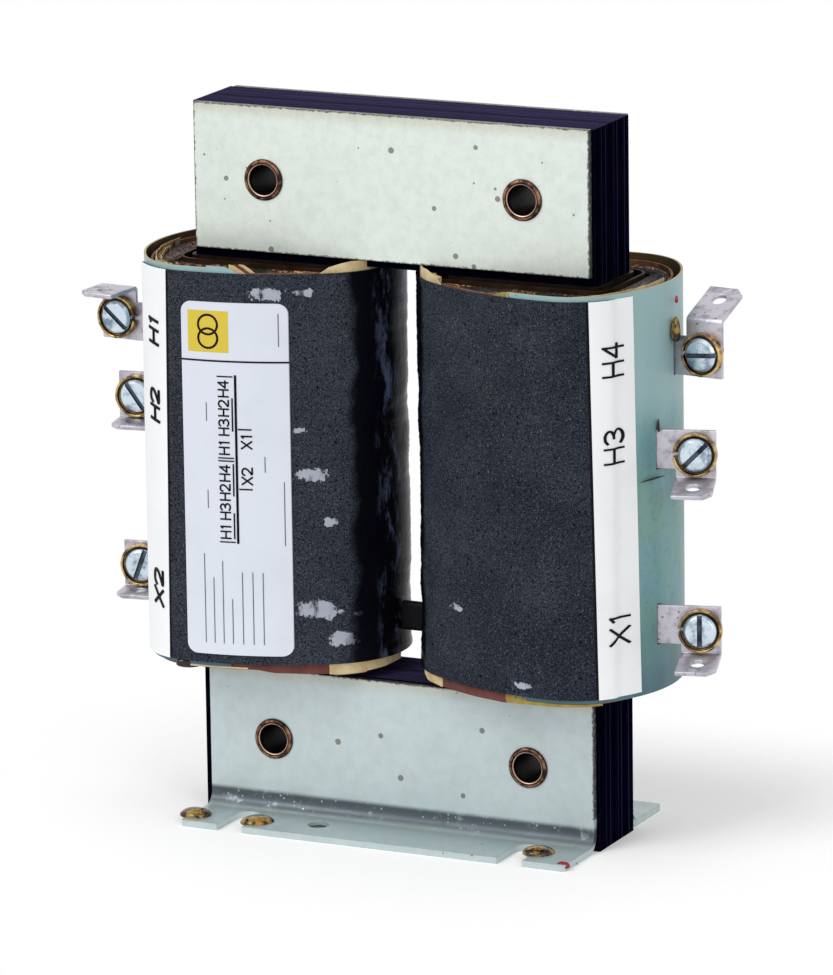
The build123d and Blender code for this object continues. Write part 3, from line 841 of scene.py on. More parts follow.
def tape_base(finish, left_coil):
    """Charcoal clouds, brown stains and fine flecks."""
    cloud = finish.group(STAINS, Scale=45.0, Low=0.38, High=0.68)["Mask"]
    brown = finish.group(STAINS, Scale=28.0, Low=0.56, High=0.75)["Mask"]
    brown = finish.times(brown, finish.math("MULTIPLY_ADD", left_coil, 0.5, 0.4))
    tone = finish.mix(brown, finish.mix(cloud, *CHARCOALS), TAPE_BROWN)
    tone = finish.mix(finish.times(left_coil, 0.25), tone, LEFT_LIGHTER)
    weave = finish.ramp(finish.noise(2600.0, 3.0, 0.7), 0.44, 0.62)
    lint = finish.ramp(finish.noise(3100.0, 2.0, 0.7), 0.56, 0.70)
    flecks = finish.group(SPECKS, Scale=900.0, Size=0.36, Coverage=0.16)["Mask"]
    tone = finish.mix(weave, tone, WEAVE_BLACK)
    tone = finish.mix(finish.times(lint, 0.7), tone, LINT_GREY)
    return finish.mix(finish.times(flecks, 0.85), tone, FLECK_BLACK)


print("tape from", CHARCOALS[0], "to", CHARCOALS[1])

# %% [markdown]
# In some places on the tape's front the varnish has dried up milky. Those places are few and can
# be counted, so each is set one by one, with a torn edge from noise.

# %% Dried spots on the tape
SPOT_STRETCH = (0.42, 0.42, 1.0)
DRY_PLACES = [
    (-1, -16.6, 85.8, 1.9), (-1, -19.7, 74.5, 1.2), (-1, -16.8, 53.6, 2.6), (-1, -21.6, 46.4, 1.9),
    (-1, -7.1, 128.6, 1.9), (-1, -15.2, 129.0, 1.1), (-1, -13.6, 96.5, 0.9),
    (-1, -24.4, 52.0, 0.8), (1, -12.2, 58.4, 0.9), (1, 6.5, 43.0, 1.0),
]
TAPE_SPOTS = [
    (front_place(side, offset * MM, level * MM), size * MM)
    for side, offset, level, size in DRY_PLACES
]
MILKY = (0.40, 0.43, 0.50)


def dried_spots(finish, tone):
    """Milky spots of dried varnish at the chosen places."""
    milky_place = finish.stretch((420.0, 420.0, 130.0))
    milky = finish.ramp(finish.noise(1.0, 5.0, 0.7, place=milky_place), 0.36, 0.50)
    flat_place = finish.stretch(SPOT_STRETCH)
    torn = finish.math("SUBTRACT", finish.noise(380.0, 4.0, 0.75), 0.5)
    for centre, radius in TAPE_SPOTS:
        apart = finish.node("ShaderNodeVectorMath", operation="DISTANCE")
        finish.link(flat_place, apart.inputs[0])
        apart.inputs[1].default_value = [c * s for c, s in zip(centre, SPOT_STRETCH)]
        uneven = finish.math("MULTIPLY_ADD", torn, radius * 2.6, apart.outputs["Value"])
        spot = finish.ramp(uneven, radius * 0.85, radius * 0.72)
        tone = finish.mix(finish.times(spot, milky), tone, MILKY)
    return tone


print(len(TAPE_SPOTS), "dried spots")

# %% [markdown]
# Towards the window between the coils the tape is glossier. There its colour is painted near black
# as shade, with painted bluish highlights in upright streaks in the innermost part. The distance
# from the middle is the mask.

# %% Tape
# Near black for painted shade on the window side, and a blue for painted highlights in its
# innermost part.
WINDOW_PAINTED_SHADE = (0.0012, 0.0012, 0.003)
PAINTED_BLUE_HIGHLIGHT = (0.10, 0.12, 0.22)
BLUE_SHEEN = (0.55, 0.66, 1.0, 1.0)
SHADED_WITHIN = (12.6 * MM, 10.6 * MM)
SHADE_RAGGED = 5.0 * MM
HIGHLIGHT_WITHIN = (6.0 * MM, 3.8 * MM)


def tape_finish():
    """Varnished tape, glossier towards the window, where it carries painted shade and painted
    highlights.
    """
    finish = Finish("charcoal tape", Specular_IOR_Level=0.04, Specular_Tint=BLUE_SHEEN)
    x = finish.axes()["X"]
    to_middle = finish.math("ABSOLUTE", x)
    from_window = finish.math("MULTIPLY_ADD", finish.noise(85.0), SHADE_RAGGED, to_middle)
    window_side = finish.ramp(from_window, *SHADED_WITHIN)
    left_coil = finish.math("LESS_THAN", x, 0.0)
    tone = dried_spots(finish, tape_base(finish, left_coil))
    # Painted shade: the window side is darkened to near black.
    tone = finish.mix(finish.times(window_side, 0.95), tone, WINDOW_PAINTED_SHADE)
    # Painted highlight: bluish upright streaks in the innermost part.
    highlight_place = finish.stretch((260.0, 260.0, 90.0))
    blue_highlight = finish.ramp(finish.noise(1.0, 4.0, 0.7, place=highlight_place), 0.50, 0.68)
    innermost = finish.ramp(to_middle, *HIGHLIGHT_WITHIN)
    tone = finish.mix(finish.times(blue_highlight, innermost), tone, PAINTED_BLUE_HIGHLIGHT)
    grain = finish.group(GRAIN, Coarse=240.0, Fine=1400.0, Grit=0.35)["Height"]
    finish.wire(
        Base_Color=tone,
        Roughness=finish.math("MULTIPLY_ADD", window_side, -0.30, 0.55),
        Normal=finish.bump(grain, 0.00025, 0.5),
    )
    return finish.material


TAPE = tape_finish()
print(TAPE.name, "painted shade within", round(SHADED_WITHIN[0] / MM, 1), "mm of the middle")

# %% [markdown]
# The sheet at the terminal side is one thin board, green outside and tan inside, with pale cut
# rims. Each face says for itself which side it is on: a face that looks back at the axis of its
# own coil is inside, and a face that looks up or down is a rim. Painting the faces by hand would
# do too, but would have to be done again whenever the sheet changes.

# %% Which side of a sheet a face is on
def make_inner_side():
    """Which faces look inwards at the axis of the nearer coil, and which are end rims."""
    tree, start, end = new_group("inner side", {"Axis X": 0.03}, ["Inside", "Rim"])
    place = tree.nodes.new("ShaderNodeSeparateXYZ")
    tree.links.new(start["Place"], place.inputs[0])
    faced = tree.nodes.new("ShaderNodeNewGeometry")
    normal = tree.nodes.new("ShaderNodeSeparateXYZ")
    tree.links.new(faced.outputs["True Normal"], normal.inputs[0])
    side = math_node(tree, "SIGN", place.outputs["X"])
    axis = math_node(tree, "MULTIPLY", side, start["Axis X"])
    from_axis = math_node(tree, "SUBTRACT", place.outputs["X"], axis)
    across = math_node(tree, "MULTIPLY", from_axis, normal.outputs["X"])
    outward = math_node(tree, "MULTIPLY_ADD", place.outputs["Y"], normal.outputs["Y"], across)
    tree.links.new(math_node(tree, "LESS_THAN", outward, 0.0), end["Inside"])
    upright = math_node(tree, "ABSOLUTE", normal.outputs["Z"])
    tree.links.new(math_node(tree, "GREATER_THAN", upright, 0.5), end["Rim"])
    return tree


INNER_SIDE = make_inner_side()
print("group", INNER_SIDE.name)

# %% [markdown]
# The green of the sheet runs in faint upright streaks. It is made darker low down and paler high
# up. The height in the object gives both.

# %% Green insulating sheet
GREENS = [(0.130, 0.29, 0.31), (0.250, 0.45, 0.50)]
AGED_GREEN = (0.20, 0.35, 0.24)
MOTTLE_GREEN = (0.075, 0.15, 0.16)
LOW_GREEN = (0.045, 0.10, 0.14)
HIGH_GREEN = (0.36, 0.53, 0.54)
SHEET_DOT = (0.03, 0.04, 0.03)
SHEET_TANS = [(0.10, 0.065, 0.03), (0.020, 0.012, 0.008)]
SHEET_RIM = (0.42, 0.36, 0.17)
DARK_BELOW = (62.0 * MM, 34.0 * MM)
PALE_ABOVE = (96.0 * MM, 112.0 * MM)


def green_sheet_finish():
    """Green pressboard, darker low down and paler high up, with a tan inside and pale rims."""
    finish = Finish("green pressboard", Roughness=0.42, Specular_IOR_Level=0.35)
    streak_place = finish.stretch((90.0, 90.0, 14.0))
    streaks = finish.ramp(finish.noise(1.0, 4.0, place=streak_place), 0.3, 0.75)
    cloud = finish.group(STAINS, Scale=70.0, Low=0.42, High=0.64)["Mask"]
    mottle = finish.ramp(finish.noise(620.0, 4.0, 0.7), 0.5, 0.75)
    dots = finish.group(SPECKS, Scale=420.0, Size=0.2, Coverage=0.06)["Mask"]
    level = finish.axes()["Z"]
    tone = finish.mix(streaks, *GREENS)
    tone = finish.mix(finish.times(cloud, 0.5), tone, AGED_GREEN)
    tone = finish.mix(finish.times(mottle, 0.45), tone, MOTTLE_GREEN)
    tone = finish.mix(finish.times(finish.ramp(level, *DARK_BELOW), 0.85), tone, LOW_GREEN)
    tone = finish.mix(finish.times(finish.ramp(level, *PALE_ABOVE), 0.75), tone, HIGH_GREEN)
    tone = finish.mix(finish.times(dots, 0.6), tone, SHEET_DOT)
    sides = finish.group(INNER_SIDE, Axis_X=leg_centre)
    tone = finish.mix(sides["Inside"], tone, finish.mix(cloud, *SHEET_TANS))
    tone = finish.mix(sides["Rim"], tone, SHEET_RIM)
    grain = finish.group(GRAIN, Coarse=130.0, Fine=1600.0, Grit=0.2)["Height"]
    finish.wire(Base_Color=tone, Normal=finish.bump(grain, 0.0002, 0.4))
    return finish.material


GREEN_SHEET = green_sheet_finish()
dress(["left_insulating_sheet", "right_insulating_sheet"], GREEN_SHEET)

# %% [markdown]
# The label and the two marker strips are clean papers, the label a little bluer. Real paper is
# never one flat white, so a slightly greyer cloud and some dust are mixed in.

# %% White papers
PAPER_SHADE = 0.88
DUST = (0.3, 0.28, 0.25)


def white_paper_finish(name, colour):
    """Clean paper with greyer clouds and a little dust."""
    finish = Finish(name, Roughness=0.5, Specular_IOR_Level=0.3)
    cloud = finish.group(STAINS, Scale=60.0, Low=0.4, High=0.8)["Mask"]
    dust = finish.group(SPECKS, Scale=300.0, Size=0.12, Coverage=0.05)["Mask"]
    shade = tuple(c * PAPER_SHADE for c in colour)
    tone = finish.mix(finish.times(cloud, 0.6), colour, shade)
    tone = finish.mix(finish.times(dust, 0.4), tone, DUST)
    grain = finish.group(GRAIN, Coarse=90.0, Fine=2000.0, Grit=0.15)["Height"]
    finish.wire(Base_Color=tone, Normal=finish.bump(grain, 0.00012, 0.3))
    return finish.material


MARKER_PAPER = white_paper_finish("marker paper", (0.95, 0.97, 0.98))
LABEL_PAPER = white_paper_finish("label paper", (0.73, 0.77, 0.86))
dress(["rating_label"], LABEL_PAPER)

# %% [markdown]
# Print, the black sleeves on the leads and the tape's cut end are plain colours. One recipe makes
# them all, with slightly paler spots as from a worn printing plate.

# %% Inks and sleeve
PALER = 0.02


def plain_ink_finish(name, colour, roughness=0.5):
    """Print, a little uneven as if from a worn plate."""
    finish = Finish(name, Roughness=roughness, Specular_IOR_Level=0.06)
    worn = finish.ramp(finish.noise(2500.0), 0.5, 0.8)
    pale = tuple(min(1.0, c + PALER) for c in colour)
    finish.wire(Base_Color=finish.mix(worn, colour, pale))
    return finish.material


BLACK_INK = plain_ink_finish("black ink", (0.008, 0.008, 0.012))
YELLOW_INK = plain_ink_finish("yellow ink", (0.72, 0.55, 0.07))
GREY_INK = plain_ink_finish("grey ink", (0.16, 0.16, 0.18))
TAPE_END = plain_ink_finish("tape end", (0.006, 0.004, 0.008), 0.35)
SLEEVE = plain_ink_finish("black sleeve", (0.006, 0.006, 0.008), 0.35)
dress(["crossover_lead", "left_lead_end"], SLEEVE)

# %% [markdown]
# From here on pieces are made that the drawing leaves out. Each is a mesh from plain lists of
# corners and faces. Faces are turned outwards at the end, so their order in a list needn't be
# thought about.

# %% Pieces from plain lists
SHARP_CORNER = math.radians(40)


def new_piece(name, vertices, faces, material, smooth=True):
    """A mesh object from plain lists."""
    mesh = bpy.data.meshes.new(name)
    mesh.from_pydata([tuple(v) for v in vertices], [], faces)
    mesh.materials.append(material)
    mesh.polygons.foreach_set("use_smooth", [smooth] * len(mesh.polygons))
    mesh.update()
    piece = bpy.data.objects.new(name, mesh)
    bpy.context.collection.objects.link(piece)
    return piece


def close_mesh(piece):
    """Turn all faces outwards and keep sharp corners crisp."""
    bm = bmesh.new()
    bm.from_mesh(piece.data)
    bmesh.ops.recalc_face_normals(bm, faces=bm.faces)
    bm.to_mesh(piece.data)
    bm.free()
    piece.data.set_sharp_from_angle(angle=SHARP_CORNER)
    return piece


def on_coil(piece, *nodes):
    """A piece that stays with the core and coils, and may stand for CAD nodes."""
    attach(piece, "root")
    if nodes:
        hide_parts(*nodes)
    return piece


print("corners over", round(math.degrees(SHARP_CORNER)), "degrees stay sharp")

# %% [markdown]
# Tape and loose papers all follow the coil's outline, so one maker builds them: a path in plan,
# swept up in rows, with a thickness and a small in-and-out ripple. A cloth simulation could
# wrinkle them as well, but would give another result each time a measure changes.

# %% Swept skins
def skin(name, path, normals, levels, thickness, inset, material, ripple):
    """A skin of even thickness along an open path. The ripple moves it in and out."""
    columns, rows = len(path), len(levels)
    outside, inside = [], []
    for z in levels:
        for column in range(columns):
            base = path[column] + normals[column] * (ripple(column, z) - inset)
            outside.append(Vector((base.x, base.y, z)))
            deep = base - normals[column] * thickness
            inside.append(Vector((deep.x, deep.y, z)))
    under = len(outside)
    top = (rows - 1) * columns
    faces = []
    for row in range(rows - 1):
        for column in range(columns - 1):
            a = row * columns + column
            b, c, d = a + 1, a + columns + 1, a + columns
            faces += [(a, b, c, d), (under + a, under + d, under + c, under + b)]
    for a in range(columns - 1):
        faces.append((a, under + a, under + a + 1, a + 1))
        faces.append((top + a, top + a + 1, under + top + a + 1, under + top + a))
    for row in range(rows - 1):
        first, last = row * columns, row * columns + columns - 1
        faces += [
            (first, first + columns, under + first + columns, under + first),
            (last, under + last, under + last + columns, last + columns),
        ]
    return close_mesh(new_piece(name, outside + inside, faces, material))


def even_levels(low, high, count):
    """Levels at equal distances."""
    return [low + (high - low) * i / (count - 1) for i in range(count)]


print("a skin in three rows stands at", even_levels(0.0, 1.0, 3))

# %% [markdown]
# Tape and leaves cover only a part of the outline. The outline is closed and its first point may
# lie in the middle of that part, so the search for the longest run goes round twice.

# %% A part of the outline
def cut_path(path, normals, keep):
    """The longest run of path points for which keep is true, on a closed path."""
    count = len(path)
    flags = [keep(point) for point in path]
    best, start = (0, 0), None
    for step in range(2 * count):
        if flags[step % count]:
            start = step if start is None else start
            if step - start + 1 > best[1] and step - start < count:
                best = (start, step - start + 1)
        else:
            start = None
    order = [(best[0] + i) % count for i in range(best[1])]
    return [path[i] for i in order], [normals[i] for i in order]


front_half, _ = cut_path(*outline(1, outer_reach, coil_depth, 4), lambda point: point.y < 0)
print("points on the front half of a coarse outline", len(front_half))

# %% [markdown]
# The tape is pulled round by hand, and no two coils gather it alike. Waves give the folds, and
# small dents break them up. Both come from a list of random numbers with a fixed start, so each
# run gives the same folds.

# %% Pattern of the folds
TAPE_SEEDS = {"left": 11, "right": 23}
WAVE_COUNT = 9
DENT_COUNT = 46


def smooth_step(low, high, value):
    """0 below low, 1 above high, and a soft rise between them."""
    share = min(1.0, max(0.0, (value - low) / (high - low)))
    return share * share * (3 - 2 * share)


def fold_pattern(random):
    """Waves as rate, phase and strength, and dents as level, width, place and strength."""
    waves = [
        (random.uniform(14, 70), random.uniform(0, 6.28), random.uniform(0.5, 1.0))
        for _ in range(WAVE_COUNT)
    ]
    dents = []
    for _ in range(DENT_COUNT):
        level, width = random.uniform(coil_bottom, coil_top), random.uniform(2.2, 6.0) * MM
        dents.append((level, width, random.uniform(-1, 1), random.uniform(0.4, 1.0)))
    return waves, dents


print(WAVE_COUNT, "waves and", DENT_COUNT, "dents on each tape")

# %% [markdown]
# The tape lies smooth on the front, where the paper backs it, and gathers in upright folds on the
# window side, where it turns the tight corner. The folds only go inwards, so the tape keeps its
# size.

# %% Tape with its folds
TAPE_STEPS = 36
TAPE_ROWS = 150
TAPE_SKIN = tape_thickness * 0.6
DENT_REACH = 0.30
DENT_FADE = 1.6
FOLDED_BETWEEN = (9.0 * MM, 27.0 * MM)
CALM_EDGE = 2.0 * MM
WAVE_DEPTH = 0.22
DENT_DEPTH = 0.42
GENTLE_DEPTH = 0.05 * MM
GENTLE_LENGTH = 7.0 * MM


def make_tape(side_name):
    """The tape of one coil, in place of the plain one."""
    side = SIDES[side_name]
    points, normals = outline(side, outer_reach, coil_depth, TAPE_STEPS)
    path, path_normals = cut_path(
        points, normals, lambda point: side * point.x - leg_centre <= tape_edge
    )
    levels = even_levels(coil_bottom, coil_top, TAPE_ROWS)
    waves, dents = fold_pattern(np.random.default_rng(TAPE_SEEDS[side_name]))

    def ripple(column, z):
        facing = path_normals[column].y
        folded = smooth_step(*FOLDED_BETWEEN, -(side * path[column].x - leg_centre))
        along = 0.5 + 0.5 * facing
        calm = smooth_step(0.0, CALM_EDGE, min(z - coil_bottom, coil_top - z))
        wave = sum(
            strength * math.sin(rate * z / (10 * MM) * 0.9 + phase + 5.0 * along)
            for rate, phase, strength in waves
        ) / WAVE_COUNT
        dent = 0.0
        for centre, width, place, strength in dents:
            away = ((z - centre) / width) ** 2 + ((facing - place) / DENT_REACH) ** 2
            if away < 4:
                dent += strength * math.exp(-away * DENT_FADE)
        amount = folded * (WAVE_DEPTH * wave - DENT_DEPTH * min(1.0, dent)) * MM
        gentle = GENTLE_DEPTH * math.sin(z / GENTLE_LENGTH + 3.0 * along + side)
        return calm * (min(0.0, amount) - abs(gentle) * (1 - folded) * 0.6)

    name = f"{side_name}_tape_skin"
    piece = skin(name, path, path_normals, levels, TAPE_SKIN, 0.0, TAPE, ripple)
    on_coil(piece, f"{side_name}_tape_wrap")
    print(piece.name, len(piece.data.polygons), "faces")


for side_name in SIDES:
    make_tape(side_name)

# %% [markdown]
# A paper that is stuck on a coil bends with it, and steps down where it leaves the tape for the
# green sheet. So its corners are given as offsets and levels on the coil, and each point of its
# mesh asks the coil for its own place.

# %% Papers laid on a coil
STEP_WIDTH = 1.4 * MM
STEP_EXTRA = 0.05 * MM
BOTTOM, TOP = coil_bottom / MM, coil_top / MM


def sheet_step(offset):
    """How far a paper drops where it leaves the tape for the sheet below."""
    left_tape = smooth_step(tape_edge, tape_edge + STEP_WIDTH, offset)
    return left_tape * (tape_thickness + STEP_EXTRA)


def patch(name, side, inner, outer, levels, lift, thickness, material, grid, waviness=0.0):
    """A paper on the coil. Inner and outer edge are offsets in mm at its bottom and its top."""
    bottom, top = levels
    rows, columns = grid
    vertices, faces = [], []
    for layer in (lift + thickness, lift):
        for row in range(rows + 1):
            share = row / rows
            level = (bottom + (top - bottom) * share) * MM
            start = inner[0] + (inner[1] - inner[0]) * share
            stop = outer[0] + (outer[1] - outer[0]) * share
            for column in range(columns + 1):
                offset = (start + (stop - start) * column / columns) * MM
                wave = waviness * (1 + math.sin(level / (7 * MM) + column * 0.5 + side))
                height = layer * MM - sheet_step(offset) + wave * MM
                vertices.append(front_place(side, offset, level, height))
    wide = columns + 1
    under = wide * (rows + 1)
    for row in range(rows):
        for column in range(columns):
            a = row * wide + column
            b, c, d = a + 1, a + wide + 1, a + wide
            faces += [(a, b, c, d), (under + a, under + d, under + c, under + b)]
    for column in range(columns):
        for a in (column, column + rows * wide):
            faces.append((a, a + 1, under + a + 1, under + a))
    for row in range(rows):
        for a in (row * wide, row * wide + columns):
            faces.append((a, a + wide, under + a + wide, under + a))
    return close_mesh(new_piece(name, vertices, faces, material))


print("a paper drops", round(sheet_step(2 * tape_edge) / MM, 2), "mm beyond the tape")

# %% [markdown]
# Marker strips are paper stuck down each coil by hand, so they don't stand quite upright. Beside
# each strip the tape's cut end shows as a thin dark line.

# %% Marker strips
STRIP_EDGES = {
    "left": ((18.4, 17.2), (27.4, 27.0)),
    "right": ((24.1, 22.7), (30.8, 30.0)),
}
STRIP_LIFT = 0.02
STRIP_THICKNESS = 0.14
STRIP_GRID = (60, 16)
STRIP_WAVINESS = 0.03
TAPE_END_EDGES = {
    "left": ((17.95, 16.75), (18.4, 17.2)),
    "right": ((23.65, 22.25), (24.1, 22.7)),
}
TAPE_END_THICKNESS = 0.10
TAPE_END_GRID = (60, 6)
TAPE_END_INSET = 0.3

for side_name, (inner, outer) in STRIP_EDGES.items():
    strip = patch(
        f"{side_name}_strip_paper", SIDES[side_name], inner, outer, (BOTTOM, TOP),
        STRIP_LIFT, STRIP_THICKNESS, MARKER_PAPER, STRIP_GRID, STRIP_WAVINESS,
    )
    on_coil(strip, f"{side_name}_marker_strip")
    print(strip.name, len(strip.data.polygons), "faces")
for side_name, (inner, outer) in TAPE_END_EDGES.items():
    on_coil(patch(
        f"{side_name}_strip_edge", SIDES[side_name], inner, outer,
        (BOTTOM + TAPE_END_INSET, TOP - TAPE_END_INSET),
        0.0, TAPE_END_THICKNESS, TAPE_END, TAPE_END_GRID,
    ))

# %% [markdown]
# Where a paper is cut unevenly, a patch with straight edges won't do. A band's lower and upper
# edge each follow a few given levels, with straight lines between them.

# %% Bands of paper
BAND_THICKNESS = 0.16
BAND_COLUMNS = 36


def band(name, side, start, stop, lows, highs, lift, material):
    """A paper edge between two offsets. Its lower and upper edge follow lists of levels."""
    vertices, faces = [], []
    shares = np.linspace(0, 1, BAND_COLUMNS + 1)
    low_edge = np.interp(shares, np.linspace(0, 1, len(lows)), lows)
    high_edge = np.interp(shares, np.linspace(0, 1, len(highs)), highs)
    for layer in (lift + BAND_THICKNESS, lift):
        for edge in (low_edge, high_edge):
            for share, level in zip(shares, edge):
                offset = (start + (stop - start) * share) * MM
                ripple = 0.05 * math.sin(share * 17 + level * 3)
                vertices.append(front_place(side, offset, level * MM, (layer + ripple) * MM))
    wide = BAND_COLUMNS + 1
    for column in range(BAND_COLUMNS):
        a, b, c, d = column, column + 1, wide + column + 1, wide + column
        e, f, g, h = (k + 2 * wide for k in (a, b, c, d))
        faces += [(a, b, c, d), (e, h, g, f), (a, e, f, b), (d, c, g, h)]
    for a in (0, BAND_COLUMNS):
        faces.append((a, a + wide, a + 3 * wide, a + 2 * wide))
    return on_coil(close_mesh(new_piece(name, vertices, faces, material)))


print("bands of", BAND_COLUMNS, "columns,", BAND_THICKNESS, "mm thick")

# %% [markdown]
# Above and below the tape the edges of the papers under it look out: rounded cream leaves at the
# window corners, a slanted flap, and brown, cream and ochre bands below.

# %% Paper edges beyond the tape
LOWER = BOTTOM - 0.1
LEAF_TOP = [TOP - 0.4, TOP + 1.2, TOP + 1.9, TOP + 2.3, TOP + 2.2, TOP + 2.4, TOP + 0.3]
FLAP_TOP = [TOP + 1.9, TOP + 1.7, TOP + 0.9, TOP - 0.1, TOP - 0.5]
GREEN_TOP = [TOP + 1.5, TOP + 1.5, TOP + 1.4, TOP + 0.6, TOP - 0.4]
OCHRE_TOP = [TOP + 0.6, TOP + 1.0, TOP + 0.9, TOP + 0.1]
LEAF_FOOT = [TOP - 0.7] * 2
FLAP_FOOT = [TOP - 0.6] * 2
UNDER_TAPE = [BOTTOM + 0.4] * 2


def below(*drops):
    """Levels at some distances below the tape's lower edge."""
    return [LOWER - drop for drop in drops]


LEFT_BROWN_FOOT = below(0.9, 2.0, 2.2, 2.4)
LEFT_CREAM_FOOT = below(2.5, 2.6, 2.3, 0.4)
BANDS = [
    ("left_cream_leaf", -1, -18.0, -31.0, LEAF_FOOT, LEAF_TOP, -1.15, CREAM_PAPER),
    ("right_cream_leaf", 1, -17.0, -29.0, LEAF_FOOT, LEAF_TOP, -1.15, CREAM_PAPER),
    ("left_green_flap", -1, 7.0, -1.6, FLAP_FOOT, GREEN_TOP, -0.95, GREEN_SHEET),
    ("left_cream_flap", -1, 1.6, -3.4, FLAP_FOOT, FLAP_TOP, -1.35, CREAM_PAPER),
    ("left_brown_flap", -1, 0.6, -4.6, FLAP_FOOT, FLAP_TOP, -1.75, KRAFT_PAPER),
    ("left_inner_flap", -1, -0.6, -5.6, FLAP_FOOT, FLAP_TOP, -2.1, CREAM_PAPER),
    ("right_ochre_flap", 1, 6.2, -0.8, FLAP_FOOT, OCHRE_TOP, -1.1, OCHRE_PAPER),
    ("left_lower_brown", -1, -1.0, -19.4, LEFT_BROWN_FOOT, UNDER_TAPE, -1.1, RED_KRAFT),
    ("left_lower_cream", -1, -19.0, -33.0, LEFT_CREAM_FOOT, UNDER_TAPE, -1.0, CREAM_PAPER),
    ("right_lower_cream", 1, -18.2, -31.0, below(2.3, 2.4, 0.8), UNDER_TAPE, -1.0, CREAM_PAPER),
    ("right_lower_brown", 1, 1.6, -18.6, below(2.3, 2.3), UNDER_TAPE, -1.1, RED_KRAFT),
    ("right_lower_ochre", 1, 7.0, 1.4, below(2.0, 2.2), UNDER_TAPE, -1.05, OCHRE_PAPER),
    ("right_lower_rim", 1, 25.0, 6.8, below(1.5, 1.9), below(1.0, 1.0), -1.0, OCHRE_PAPER),
    ("left_lower_rim", -1, 17.0, -1.2, below(1.3, 1.2), below(0.9, 0.9), -1.0, CREAM_PAPER),
]
for values in BANDS:
    band(*values)
print(len(BANDS), "paper edges")

# %% [markdown]
# All print is drawn with single strokes, like a marking pen or a plotter would. Each letter is a
# few lines in a unit square. Round ones are kept as coarse lines and have their corners cut twice.

# %% Strokes of the letters
STROKES = {
    "H": [[(0, 0), (0, 1)], [(1, 0), (1, 1)], [(0, 0.5), (1, 0.5)]],
    "X": [[(0, 0), (1, 1)], [(0, 1), (1, 0)]],
    "1": [[(0.2, 0.84), (0.42, 1), (0.42, 0)]],
    "2": [[(0, 0.75), (0.15, 0.95), (0.45, 1), (0.8, 0.93), (0.95, 0.75), (0.85, 0.5),
           (0.4, 0.2), (0, 0), (1, 0)]],
    "3": [[(0.05, 0.85), (0.25, 0.98), (0.6, 1), (0.9, 0.85), (0.9, 0.65), (0.6, 0.53),
           (0.4, 0.52)],
          [(0.6, 0.53), (0.95, 0.4), (1, 0.2), (0.75, 0.03), (0.35, 0), (0.05, 0.12)]],
    "4": [[(0.75, 0), (0.75, 1), (0, 0.3), (1, 0.3)]],
}
ROUND_LETTERS = "23"
CORNER_CUTS = 2


def rounded(points):
    """Cut the corners of an open line again and again, so that it turns smoothly."""
    for _ in range(CORNER_CUTS):
        cut = [points[0]]
        for a, b in zip(points, points[1:]):
            cut.append((a[0] * 0.75 + b[0] * 0.25, a[1] * 0.75 + b[1] * 0.25))
            cut.append((a[0] * 0.25 + b[0] * 0.75, a[1] * 0.25 + b[1] * 0.75))
        points = cut + [points[-1]]
    return points


def letters(side, text, base, start, height, width, gap, stroke, tilt=0.0):
    """Lines for a mark. Its foot is at an offset, and it reads upwards from a level, all in mm."""
    up = 1 if side < 0 else -1
    lines = []
    for number, letter in enumerate(text):
        left = start + number * (width + gap)
        for path in STROKES[letter]:
            path = rounded(path) if letter in ROUND_LETTERS else path
            points = [
                (base + up * y * height, left + x * width + tilt * y * height) for x, y in path
            ]
            lines.append((points, stroke))
    return lines


print("letters", "".join(STROKES))

# %% [markdown]
# A printed line is a row of short thin ribs that bend with the paper. A flat picture on the paper
# would look the same from afar, but ribs stay crisp up close and need no picture file.

# %% Lines as raised ribs
RIB_LENGTH = 0.4
INK_DEPTH = 0.05
CAP_SHARE = 0.4
RIB_FACES = ((0, 1, 2, 3), (4, 7, 6, 5), (0, 4, 5, 1), (1, 5, 6, 2), (2, 6, 7, 3), (3, 7, 4, 0))


def rib(side, start, stop, width, lift):
    """Eight corners of one short raised rib between two places on the coil, in mm."""
    along = Vector((stop[0] - start[0], stop[1] - start[1]))
    along.normalize()
    across = Vector((-along.y, along.x)) * width / 2
    cap = along * width * CAP_SHARE
    corners = []
    for raised in (lift + INK_DEPTH, lift):
        for place, way in ((start, -1), (stop, 1)):
            for edge in (-way, way):
                offset = (place[0] + way * cap.x + edge * across.x) * MM
                level = (place[1] + way * cap.y + edge * across.y) * MM
                height = raised * MM - sheet_step(offset)
                corners.append(front_place(side, offset, level, height))
    return corners


def draw_lines(name, side, lines, lift, material):
    """One piece of print from several lines. A line is its points and its stroke width in mm."""
    vertices, faces = [], []
    for points, width in lines:
        for start, stop in zip(points, points[1:]):
            count = max(1, math.ceil(math.dist(start, stop) / RIB_LENGTH))
            for step in range(count):
                a = [start[i] + (stop[i] - start[i]) * step / count for i in (0, 1)]
                b = [start[i] + (stop[i] - start[i]) * (step + 1) / count for i in (0, 1)]
                base = len(vertices)
                vertices += rib(side, a, b, width, lift)
                faces += [tuple(base + k for k in quad) for quad in RIB_FACES]
    piece = on_coil(close_mesh(new_piece(name, vertices, faces, material, smooth=False)))
    print(piece.name, len(lines), "lines", len(faces), "faces")
    return piece


print("ribs of", RIB_LENGTH, "mm,", INK_DEPTH, "mm high")

# %% [markdown]
# The marks on the strips name the terminals beside them. On the left strip they lean a little and
# are stamped bolder, so their tilt and stroke differ from the right ones.

